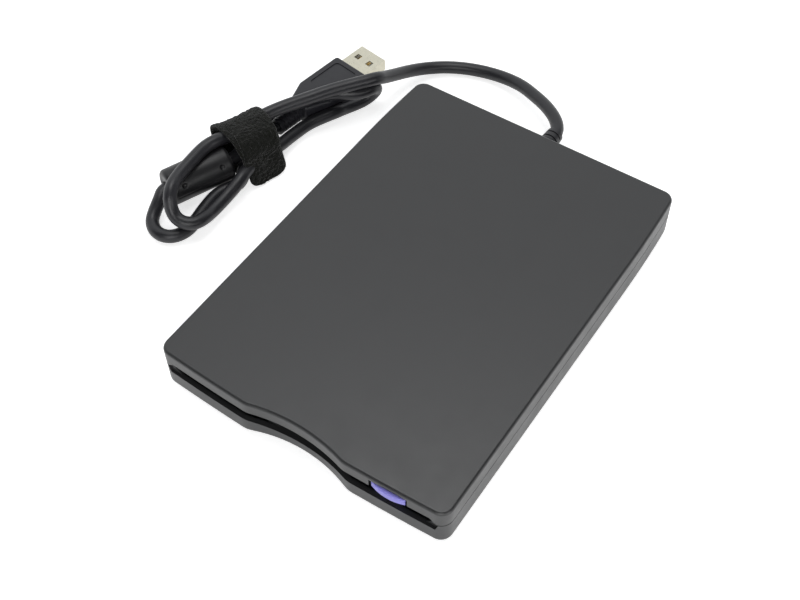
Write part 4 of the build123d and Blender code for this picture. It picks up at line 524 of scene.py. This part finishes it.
# ------------------------------------------------------------------ cord
@dataclass
class CordRun:
    """The captive cord, from the rear wall through its tied loops to the plug."""

    radius_mm: float = 2.35
    exit_mm: Point = (0.0, 81.2, 9.6)
    length: float = 0.4835
    round_steps: int = 8
    along_steps: int = 10
    lead: list[Point] = field(
        default_factory=lambda: [
            (0, 81.2, 9.6), (-0.08, 83.68, 9.59), (-4.1, 88.69, 9.39), (-10.55, 93.5, 8.25),
            (-17.44, 97.38, 6.62), (-24.52, 100.86, 5.16), (-32.28, 102.63, 3.62),
            (-40.29, 102.58, 2.58), (-48.05, 100.38, 2.4), (-55.32, 96.8, 2.28),
            (-61.16, 91.19, 2.94), (-64, 84.02, 5.46), (-64.97, 76.58, 8.84),
            (-65.48, 69.84, 12.29), (-65.55, 65.96, 14.91), (-67.52, 62.38, 15.31),
            (-71.65, 56.86, 15.28), (-76.82, 50.38, 14.68), (-80.85, 43.52, 14.36),
            (-85.66, 37.07, 13.48), (-89.12, 29.82, 13.35), (-91.16, 21.99, 13.29),
        ]
    )
    upper_loop: list[Point] = field(
        default_factory=lambda: [
            (-93, 16.66, 12.84), (-93.34, 12.87, 13.65), (-93.74, 9.19, 15.34),
            (-95.3, 4.21, 15.21), (-94.78, -3.63, 15.25), (-94.12, -11.48, 15.04),
            (-92.71, -16.18, 15.12), (-91.22, -19.3, 13.72), (-89.88, -20.96, 10.59),
            (-87.42, -22.04, 8.16), (-83.99, -21.68, 7.07), (-81.29, -19.4, 6.68),
            (-80.58, -15.86, 6.13), (-81, -10.92, 4.96), (-81.1, -2.78, 5.3), (-80.59, 4.35, 7.24),
            (-81.76, 8.87, 7.27), (-81.83, 13, 6.98),
        ]
    )
    return_run: list[Point] = field(
        default_factory=lambda: [
            (-82.46, 18.57, 5.88), (-81.76, 26.21, 3.98), (-81.53, 34.15, 3.2),
            (-80.21, 42.34, 3.3), (-76.94, 47.99, 4.1), (-74.66, 52.06, 4.3),
            (-74.13, 56.84, 2.7), (-72.55, 60.75, 2.27), (-71.08, 63.98, 2.33),
            (-69.77, 66.56, 3.22), (-68.36, 67.92, 5.25), (-67.29, 67.67, 7.74),
            (-66.86, 65.92, 9.83), (-67.17, 63.22, 10.66), (-68.75, 60.44, 10.52),
            (-71.46, 57.69, 10.55), (-77.12, 54.29, 10.78), (-82.09, 47.57, 10.95),
            (-86.57, 41.11, 10.06), (-90.5, 36.47, 9.54), (-91.08, 31.36, 9), (-89.99, 23.75, 8.63),
            (-88.76, 15.81, 7.23), (-89.69, 10.36, 6.59), (-92.95, 3.51, 6.73),
            (-96.11, -4.38, 6.69), (-98.89, -10.6, 6.74), (-100.18, -14.08, 6.72),
            (-99.05, -17.29, 5.7), (-98.56, -20.6, 3.8),
        ]
    )
    lower_loop: list[Point] = field(
        default_factory=lambda: [
            (-97.28, -24.21, 2.55), (-93.99, -26.78, 2.33), (-90.1, -27.4, 2.39),
            (-86.73, -25.83, 2.39), (-84.63, -22.38, 2.38), (-84.3, -17.73, 2.45),
            (-85.82, -9.99, 2.45), (-86.49, -2.52, 2.51), (-84.99, 1.68, 2.55), (-83.3, 5.39, 2.25),
            (-83.68, 8.84, 2.82), (-85.47, 11.69, 3.93), (-85.84, 15.88, 3.59),
            (-87.99, 21.99, 3.95), (-88.92, 29.83, 4.37), (-87.9, 33.9, 4.3),
        ]
    )

    def build(self, wardrobe: Wardrobe, pieces: Sequence[object]) -> bpy.types.Object:
        """Lays the cord along its route.

        Args:
            wardrobe: gives its finish.
            pieces: what is on the cord, such as its plug; not used.

        Returns:
            The cord's curve.
        """
        curve = bpy.data.curves.new("usb_cord_run", "CURVE")
        curve.dimensions = "3D"
        curve.bevel_depth = self.radius_mm * MM
        curve.bevel_resolution = self.round_steps
        curve.resolution_u = self.along_steps
        curve.use_fill_caps = True
        points = metres(self.lead + self.upper_loop + self.return_run + self.lower_loop)
        spline = curve.splines.new("NURBS")
        spline.points.add(len(points) - 1)
        for control, place in zip(spline.points, points):
            control.co = (*place, 1.0)
        spline.order_u = 3
        spline.use_endpoint_u = True
        curve.materials.append(wardrobe.get(CORD_JACKET))
        obj = bpy.data.objects.new("usb_cord_run", curve)
        bpy.context.scene.collection.objects.link(obj)
        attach(obj, ROOT_BODY)
        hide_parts("usb_cord", "cord_hank")
        LOG.info("laid usb_cord_run over %d points", len(points))
        return obj


# ------------------------------------------------------------------ strap
@dataclass(frozen=True)
class StrapRow:
    """One row across the strap.

    Attributes:
        point: its middle, as (0, y, z) in millimetres.
        normal: its outward direction.
        shift_mm: how far its middle lies to the side.
        hood: how much its open edge stands off at the rear, 0 on the tail.
    """

    point: Vector
    normal: Vector
    shift_mm: float
    hood: float


@dataclass
class HookStrap:
    """The hook and loop strap, wound nearly twice round the bundle, its tail in front.

    Angles are counted in the strap's own frame, anticlockwise from +Y, which is the rear.
    """

    centre_mm: Point = (-87.36, 18.2, 8.7)
    heading: float = math.radians(73.0)
    half_width_mm: float = 7.1
    rear_half_width_mm: float = 10.3
    half_height_mm: float = 6.6
    squareness: float = 2.5
    width_mm: float = 15.0
    thick_mm: float = 0.9
    start_angle: float = math.radians(200.0)
    end_angle: float = math.radians(886.0)
    first_layer: float = math.radians(300.0)
    climb: float = math.radians(60.0)
    layer_step: float = 1.06
    rear_angle: float = math.radians(40.0)
    front_drift_mm: float = -0.6
    rear_drift_mm: tuple[float, float] = (-0.3, 2.4)
    hood_mm: float = 2.4
    outer_hood: float = 0.55
    hood_lean: tuple[float, float] = (0.75, 0.66)
    tail_out_mm: float = 11.4
    tail_round_mm: float = 3.2
    tail_bend_mm: tuple[float, float] = (0.75, 3.2)
    floor_mm: float = 0.25
    fuzz: tuple[tuple[float, float], ...] = ((1.17, 0.34), (0.23, 0.26))
    gape_power: float = 1.4
    edge_power: int = 14
    edge_share: float = 0.35
    along: int = 300
    wound_share: float = 0.88
    across: int = 40
    hairs: int = 9000
    hair_mm: tuple[float, float] = (0.4, 1.25)
    hair_half_width_mm: float = 0.07
    hair_lean: float = 0.75
    hair_bend_mm: tuple[float, float] = (0.05, 0.3)
    fibres: int = 46
    fibre_mm: tuple[float, float] = (0.25, 0.9)
    fibre_half_width_mm: float = 0.06
    fibre_lift_mm: float = 0.55
    seed: int = 7

    def frame(self) -> Matrix:
        """Gives the strap's own frame: X along the strands, Y across, Z up."""
        middle = Matrix.Translation(Vector(self.centre_mm) * MM)
        return middle @ Matrix.Rotation(self.heading, 4, "Z")

    def ring(self, angle: float, lift_mm: float) -> tuple[Vector, Vector]:
        """Finds a point on the bundle's outline.

        Args:
            angle: direction from the middle.
            lift_mm: distance outside the bundle.

        Returns:
            The point and the outward normal, both as (0, y, z) in millimetres.
        """
        c, s = math.cos(angle), math.sin(angle)
        n, high = self.squareness, self.half_height_mm
        wide = self.rear_half_width_mm if c > 0 else self.half_width_mm
        reach = (abs(c / wide) ** n + abs(s / high) ** n) ** (-1 / n)
        y, z = reach * c, reach * s
        normal = Vector((
            0.0,
            math.copysign(abs(y / wide) ** (n - 1) / wide, c),
            math.copysign(abs(z / high) ** (n - 1) / high, s),
        )).normalized()
        return Vector((0.0, y, z)) + normal * lift_mm, normal

    def wound(self, steps: int) -> list[StrapRow]:
        """Follows the part of the strap that lies on the bundle.

        Args:
            steps: number of rows.

        Returns:
            Its rows from the inner end.
        """
        rows = []
        for i in range(steps):
            angle = self.start_angle + (self.end_angle - self.start_angle) * i / (steps - 1)
            climbed = (angle - self.start_angle - self.first_layer) / self.climb
            outer = max(0.0, min(1.0, climbed))
            point, normal = self.ring(angle, self.thick_mm * (0.5 + self.layer_step * outer))
            rear = 0.5 + 0.5 * math.cos(angle - self.rear_angle)
            behind = self.rear_drift_mm[0] * (1.0 - outer) + self.rear_drift_mm[1] * outer
            shift = self.front_drift_mm * (1.0 - rear) + behind * rear
            rows.append(StrapRow(point, normal, shift, 1.0 - (1.0 - self.outer_hood) * outer))
        return rows

    def tail(self, last: StrapRow, steps: int) -> list[StrapRow]:
        """Lets the free end down to the floor in a curve.

        Args:
            last: the last row on the bundle.
            steps: number of rows.

        Returns:
            Its rows, ending at its tip.
        """
        drop = self.floor_mm + self.thick_mm / 2 - self.centre_mm[2]
        foot = Vector((0.0, -self.tail_out_mm, drop))
        out, down = self.tail_bend_mm
        bend = Vector((0.0, last.point.y - out, last.point.z - down))
        rows = []
        for i in range(1, steps + 1):
            t = i / steps
            at = last.point * (1 - t) ** 2 + bend * (2 * t * (1 - t)) + foot * t ** 2
            way = ((bend - last.point) * (1 - t) + (foot - bend) * t).normalized()
            normal = Vector((0.0, way.z, -way.y))
            rows.append(StrapRow(at, normal, last.shift_mm * (1 - t), 0.0))
        return rows

    def share_left(self, row: StrapRow, tip: Vector) -> float:
        """Gives the share of the full width that the tail's rounded tip leaves a row.

        Args:
            row: the row.
            tip: the middle of the last row.

        Returns:
            The share, 1 away from the tip.
        """
        if row.hood:
            return 1.0
        into = max(0.0, 1.0 - (tip - row.point).length / self.tail_round_mm)
        cut = self.tail_round_mm * (1.0 - math.sqrt(1.0 - into ** 2))
        return 1.0 - 2 * cut / self.width_mm

    def section(self, row: StrapRow, share: float) -> list[Vector]:
        """Makes one cross-section of the band.

        Args:
            row: its place on the strap.
            share: share of the full width.

        Returns:
            The section's vertices, outer face first.
        """
        half = self.width_mm / 2 * share
        point, normal = row.point, row.normal
        lean = normal.y * self.hood_lean[0] + normal.z * self.hood_lean[1]
        outer, inner = [], []
        for k in range(self.across):
            u = 2 * k / (self.across - 1) - 1
            edge = 1.0 - abs(u) ** self.edge_power
            x = u * half + row.shift_mm
            gape = max(0.0, -x / half) ** self.gape_power * max(0.0, lean) ** 2
            base = point + normal * (self.hood_mm * row.hood * gape) + Vector((x, 0.0, 0.0))
            spot = Vector((x, point.y, point.z))
            fuzz = sum(noise.noise(spot * scale) * height for scale, height in self.fuzz)
            thick = self.thick_mm * 0.5 * (self.edge_share + (1.0 - self.edge_share) * edge)
            outer.append(base + normal * (thick + fuzz * edge))
            inner.append(base - normal * thick)
        return outer + inner[::-1]

    def build(self, wardrobe: Wardrobe) -> list[bpy.types.Object]:
        """Makes the band, its pile and the lint on it.

        Args:
            wardrobe: gives the finishes.

        Returns:
            The band, the pile and the lint.
        """
        frame = self.frame()
        steps = int(self.along * self.wound_share)
        rows = self.wound(steps)
        rows += self.tail(rows[-1], self.along - steps)
        verts: list[Vector] = []
        for row in rows:
            verts += self.section(row, self.share_left(row, rows[-1].point))
        columns = 2 * self.across
        faces = grid_faces(len(rows), columns, True)
        first, last = range(columns), range((len(rows) - 1) * columns, len(rows) * columns)
        faces += [tuple(first)[::-1], tuple(last)]
        placed = [frame @ (v * MM) for v in verts]
        band = new_mesh("strap_band", placed, faces, wardrobe.get(STRAP_PILE))
        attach(band, ROOT_BODY)
        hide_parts("cable_strap")
        pile = self.pile(band, wardrobe)
        lint = self.lint(band, wardrobe)
        LOG.info("wound strap_band in %d rows", len(rows))
        return [band, pile, lint]

    def scatter(
        self, band: bpy.types.Object, count: int, seed: int
    ) -> list[tuple[Vector, Vector]]:
        """Picks points on the band's faces.

        Args:
            band: the band.
            count: how many points.
            seed: start of the random sequence.

        Returns:
            Places and normals.
        """
        pick = random.Random(seed)
        polygons = [p for p in band.data.polygons if len(p.vertices) == 4]
        spots = []
        for _ in range(count):
            polygon = polygons[pick.randrange(len(polygons))]
            corners = [band.data.vertices[v].co for v in polygon.vertices]
            a, b = pick.random(), pick.random()
            spot = corners[0].lerp(corners[1], a).lerp(corners[3].lerp(corners[2], a), b)
            spots.append((spot, polygon.normal.copy()))
        return spots

    def dress(
        self, name: str, verts: list[Vector], faces: list[tuple[int, ...]], look: bpy.types.Material
    ) -> bpy.types.Object:
        """Makes one of the strap's fibre meshes and ties it to the drive.

        Args:
            name: the piece's name.
            verts: its vertices in metres.
            faces: vertex numbers of its faces.
            look: its material.

        Returns:
            The mesh object.
        """
        obj = new_mesh(name, verts, faces, look)
        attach(obj, ROOT_BODY)
        return obj

    def pile(self, band: bpy.types.Object, wardrobe: Wardrobe) -> bpy.types.Object:
        """Grows short hairs of pile over the band.

        Args:
            band: the band.
            wardrobe: gives the finish.

        Returns:
            The pile as one mesh.
        """
        pick = random.Random(self.seed)
        verts: list[Vector] = []
        faces: list[tuple[int, ...]] = []
        for spot, normal in self.scatter(band, self.hairs, self.seed + 1):
            lean = Vector((pick.uniform(-1, 1), pick.uniform(-1, 1), pick.uniform(-1, 1)))
            way = (normal + lean * self.hair_lean).normalized()
            rise = way * pick.uniform(*self.hair_mm) * MM
            side = rise.cross(lean).normalized() * self.hair_half_width_mm * MM
            bend = lean.cross(rise).normalized() * pick.uniform(*self.hair_bend_mm) * MM
            k = len(verts)
            middle, tip = spot + rise * 0.55 + bend, spot + rise + bend * 0.4
            verts += [spot - side, spot + side, middle + side * 0.8, middle - side * 0.8, tip]
            faces += [(k, k + 1, k + 2, k + 3), (k + 3, k + 2, k + 4)]
        return self.dress("strap_pile", verts, faces, wardrobe.get(STRAP_PILE))

    def lint(self, band: bpy.types.Object, wardrobe: Wardrobe) -> bpy.types.Object:
        """Leaves a few pale fibres caught in the pile.

        Args:
            band: the band.
            wardrobe: gives the finish.

        Returns:
            The fibres as one mesh.
        """
        pick = random.Random(self.seed + 5)
        verts: list[Vector] = []
        faces: list[tuple[int, ...]] = []
        for spot, normal in self.scatter(band, self.fibres, self.seed + 9):
            turn = Vector((pick.uniform(-1, 1), pick.uniform(-1, 1), 0.4))
            along = normal.cross(turn).normalized()
            side = normal.cross(along).normalized() * self.fibre_half_width_mm * MM
            reach = pick.uniform(*self.fibre_mm) * MM
            lift = normal * self.fibre_lift_mm * MM
            k = len(verts)
            a, b = spot + lift, spot + lift * 1.3 + along * reach
            verts += [a - side, a + side, b + side, b - side]
            faces.append((k, k + 1, k + 2, k + 3))
        return self.dress("strap_lint", verts, faces, wardrobe.get(STRAP_LINT))


# ------------------------------------------------------------------ interference filter
@dataclass
class FilterCase:
    """The moulded case of the interference filter, with its parting line and gate marks."""

    outer_mm: Point = (-99.6, -12.6, 6.7)
    inner_mm: Point = (-90.4, 9.4, 6.7)
    radius_mm: float = 6.55
    bore_mm: float = 2.5
    end_mm: float = 1.5
    chamfer_mm: tuple[float, float] = (0.9, 0.5)
    end_steps: int = 8
    dimple_mm: float = 0.95
    dimple_depth_mm: float = 0.7
    dimples: list[tuple[float, float]] = field(
        default_factory=lambda: [(0.20, 148.0), (0.82, 144.0), (0.2, 232.0), (0.8, 232.0)]
    )
    seam_half_width_mm: float = 0.3
    seam_depth_mm: float = 0.16
    segments: int = 160
    rows: int = 110

    def profile(self) -> list[tuple[float, float]]:
        """Gives the lathe profile from the outer bore edge to the inner one.

        Returns:
            Distances along the axis and radii, in millimetres.
        """
        length = (Vector(self.inner_mm) - Vector(self.outer_mm)).length
        deep, wide = self.chamfer_mm
        end = [(deep, self.bore_mm), (0.0, self.bore_mm + wide)]
        flat = self.radius_mm - self.end_mm
        for k in range(self.end_steps + 1):
            a = math.radians(90.0 * k / self.end_steps)
            end.append((self.end_mm * (1 - math.cos(a)), flat + self.end_mm * math.sin(a)))
        run = length - 2 * self.end_mm
        straight = [
            (self.end_mm + run * k / self.rows, self.radius_mm) for k in range(1, self.rows)
        ]
        return end + straight + [(length - x, r) for x, r in end[::-1]]

    def build(self, wardrobe: Wardrobe) -> bpy.types.Object:
        """Turns the case and presses its marks in.

        Args:
            wardrobe: gives the finish.

        Returns:
            The case.
        """
        start = Vector(self.outer_mm)
        axis = Vector(self.inner_mm) - start
        length = axis.length
        axis.normalize()
        side = UP.cross(axis).normalized()
        up = axis.cross(side)
        profile = self.profile()
        verts = []
        for x, r in profile:
            for k in range(self.segments):
                a = 2 * math.pi * k / self.segments
                outward = side * math.cos(a) + up * math.sin(a)
                on_side = r > self.radius_mm - ROUND_OFF
                radius = r - self.marks(x / length, a, length) if on_side else r
                verts.append((start + axis * x + outward * radius) * MM)
        faces = grid_faces(len(profile), self.segments, True)
        case = new_mesh("filter_case", verts, faces, wardrobe.get(FILTER_PLASTIC))
        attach(case, ROOT_BODY)
        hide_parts("ferrite_core")
        LOG.info("turned filter_case with %d marks", len(self.dimples))
        return case

    def marks(self, along: float, angle: float, length: float) -> float:
        """Gives how deep the surface lies under its round form.

        Args:
            along: share of the length.
            angle: direction round the axis.
            length: the case's length in millimetres.

        Returns:
            Depth in millimetres.
        """
        depth = 0.0
        for share, degrees in self.dimples:
            gap = half_turn(angle - math.radians(degrees)) * self.radius_mm
            away = math.hypot((along - share) * length, gap) / self.dimple_mm
            depth = max(depth, self.dimple_depth_mm * max(0.0, 1.0 - away ** 4))
        for seam in (0.0, math.pi):
            gap = abs(half_turn(angle - seam)) * self.radius_mm
            part = max(0.0, 1.0 - gap / self.seam_half_width_mm)
            depth = max(depth, self.seam_depth_mm * part)
        return depth


# ------------------------------------------------------------------ studio
@dataclass(frozen=True)
class Lamp:
    """A square soft light.

    Attributes:
        name: the lamp's name.
        place: where it hangs, in metres.
        size: its side in metres.
        power: its power in watts.
    """

    name: str
    place: Point
    size: float
    power: float


@dataclass
class Studio:
    """Floor, light and camera."""

    camera_mm: Point = (129.736, -204.570, 317.408)
    camera_turn: Point = (0.654667, 0.008048, 0.593270)
    lens: float = 55.12
    sensor: float = 36.0
    floor_half: float = 3.0
    floor_tones: tuple[float, float] = (0.86, 0.88)
    floor_seen: float = 0.66
    floor_mirrored: float = 0.45
    dim_side: Point = (0.71, -0.70, 0.0)
    dim_from: tuple[float, float] = (-0.42, 0.02)
    dim_above: tuple[float, float] = (0.08, 0.26)
    room_colour: Colour = (0.96, 0.98, 1.0)
    room_levels: tuple[float, float] = (0.9, 0.06)
    aim: Point = (-0.02, 0.0, 0.0)
    lamps: tuple[Lamp, ...] = (
        Lamp("overhead", (-0.12, 0.22, 1.3), 0.7, 4.5),
        Lamp("right_fill", (1.1, -0.3, 0.25), 0.8, 4.0),
        Lamp("front_fill", (0.5, -1.0, 0.7), 0.8, 7.0),
    )

    @staticmethod
    def ramp(
        tree: bpy.types.NodeTree,
        value: bpy.types.NodeSocket,
        source: tuple[float, float],
        target: tuple[float, float],
    ) -> bpy.types.NodeSocket:
        """Maps a value smoothly from one range to another.

        Args:
            tree: the node tree to add to.
            value: the value to map.
            source: its two ends.
            target: the results there.

        Returns:
            The mapped value.
        """
        node = tree.nodes.new("ShaderNodeMapRange")
        node.interpolation_type = "SMOOTHSTEP"
        for name, number in zip(RANGE_INPUTS, (*source, *target)):
            node.inputs[name].default_value = number
        tree.links.new(value, node.inputs["Value"])
        return node.outputs["Result"]

    def floor(self) -> None:
        """Lays the plain pale floor."""
        sheet = NodeSheet("floor_paper")
        sheet.shader.inputs["Roughness"].default_value = 0.9
        sheet.shader.inputs["Specular IOR Level"].default_value = 0.1
        darker, lighter = ((tone, tone, tone) for tone in self.floor_tones)
        tone = sheet.blend(sheet.noise(120.0, 2.0), darker, lighter)
        sheet.link(tone, sheet.shader.inputs["Base Color"])
        rays = sheet.add("ShaderNodeLightPath")
        glow = sheet.add("ShaderNodeEmission")
        glow.inputs["Color"].default_value = (*WHITE, 1.0)
        seen = sheet.spread(rays.outputs["Is Camera Ray"], 0.0, self.floor_seen, 0.0, 1.0)
        glossy = rays.outputs["Is Glossy Ray"]
        mirrored = sheet.spread(glossy, 0.0, self.floor_mirrored, 0.0, 1.0)
        total = sheet.add("ShaderNodeMath", operation="ADD")
        sheet.link(seen, total.inputs[0])
        sheet.link(mirrored, total.inputs[1])
        sheet.link(total.outputs["Value"], glow.inputs["Strength"])
        both = sheet.add("ShaderNodeAddShader")
        sheet.link(sheet.shader.outputs["BSDF"], both.inputs[0])
        sheet.link(glow.outputs["Emission"], both.inputs[1])
        sheet.link(both.outputs["Shader"], sheet.output.inputs["Surface"])
        h = self.floor_half
        corners = [Vector((x, y, 0)) for x, y in ((-h, -h), (h, -h), (h, h), (-h, h))]
        plane = new_mesh("floor", corners, [(0, 1, 2, 3)], sheet.material)

    def surroundings(self) -> None:
        """Sets the room's light: dim above the front right, bright on all other sides."""
        world = bpy.data.worlds.new("room")
        world.use_nodes = True
        bpy.context.scene.world = world
        tree = world.node_tree
        tree.nodes.clear()
        out = tree.nodes.new("ShaderNodeOutputWorld")
        coords = tree.nodes.new("ShaderNodeTexCoord")
        facing = tree.nodes.new("ShaderNodeVectorMath")
        facing.operation = "DOT_PRODUCT"
        facing.inputs[1].default_value = Vector(self.dim_side).normalized()
        tree.links.new(coords.outputs["Generated"], facing.inputs[0])
        sideways = self.ramp(tree, facing.outputs["Value"], self.dim_from, (0.0, 1.0))
        parts = tree.nodes.new("ShaderNodeSeparateXYZ")
        tree.links.new(coords.outputs["Generated"], parts.inputs["Vector"])
        raised = self.ramp(tree, parts.outputs["Z"], self.dim_above, (0.0, 1.0))
        shade = tree.nodes.new("ShaderNodeMath")
        shade.operation = "MULTIPLY"
        tree.links.new(sideways, shade.inputs[0])
        tree.links.new(raised, shade.inputs[1])
        level = self.ramp(tree, shade.outputs["Value"], (0.0, 1.0), self.room_levels)
        room = tree.nodes.new("ShaderNodeBackground")
        room.inputs["Color"].default_value = (*self.room_colour, 1.0)
        tree.links.new(level, room.inputs["Strength"])
        seen = tree.nodes.new("ShaderNodeBackground")
        seen.inputs["Color"].default_value = (*WHITE, 1.0)
        seen.inputs["Strength"].default_value = 1.0
        rays = tree.nodes.new("ShaderNodeLightPath")
        mix = tree.nodes.new("ShaderNodeMixShader")
        tree.links.new(rays.outputs["Is Camera Ray"], mix.inputs["Fac"])
        tree.links.new(room.outputs["Background"], mix.inputs[1])
        tree.links.new(seen.outputs["Background"], mix.inputs[2])
        tree.links.new(mix.outputs["Shader"], out.inputs["Surface"])

    def hang(self, lamp: Lamp) -> None:
        """Hangs a lamp so that it points at the object.

        Args:
            lamp: the lamp to hang.
        """
        data = bpy.data.lights.new(lamp.name, "AREA")
        data.shape = "SQUARE"
        data.size = lamp.size
        data.energy = lamp.power
        obj = bpy.data.objects.new(lamp.name, data)
        obj.location = lamp.place
        aim = Vector(self.aim) - Vector(lamp.place)
        obj.rotation_euler = aim.to_track_quat("-Z", "Y").to_euler()
        bpy.context.scene.collection.objects.link(obj)

    def camera(self) -> None:
        """Sets the camera."""
        data = bpy.data.cameras.new("camera")
        data.lens = self.lens
        data.sensor_width = self.sensor
        data.sensor_fit = "HORIZONTAL"
        data.clip_start = 0.01
        obj = bpy.data.objects.new("camera", data)
        obj.location = Vector(self.camera_mm) * MM
        obj.rotation_euler = self.camera_turn
        bpy.context.scene.collection.objects.link(obj)
        bpy.context.scene.camera = obj

    def build(self) -> None:
        """Sets up the whole studio."""
        self.camera()
        self.floor()
        self.surroundings()
        for lamp in self.lamps:
            self.hang(lamp)
        bpy.context.scene.view_settings.view_transform = "Standard"


def main() -> None:
    """Builds and dresses every piece."""
    logging.basicConfig(level=logging.INFO, format="%(name)s: %(message)s")
    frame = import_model()
    wardrobe = Wardrobe(frame["record"])
    Studio().build()
    wardrobe.dress_nodes(frame["nodes"])
    strap = HookStrap().build(wardrobe)
    case = FilterCase().build(wardrobe)
    on_cord = [frame["nodes"][name] for name in (
        "usb_plug_body", "usb_strain_relief", "usb_plug_shell", "usb_tongue", "usb_contacts",
    )]
    CordRun().build(wardrobe, [case, *strap, *on_cord])


if __name__ == "__main__":
    main()
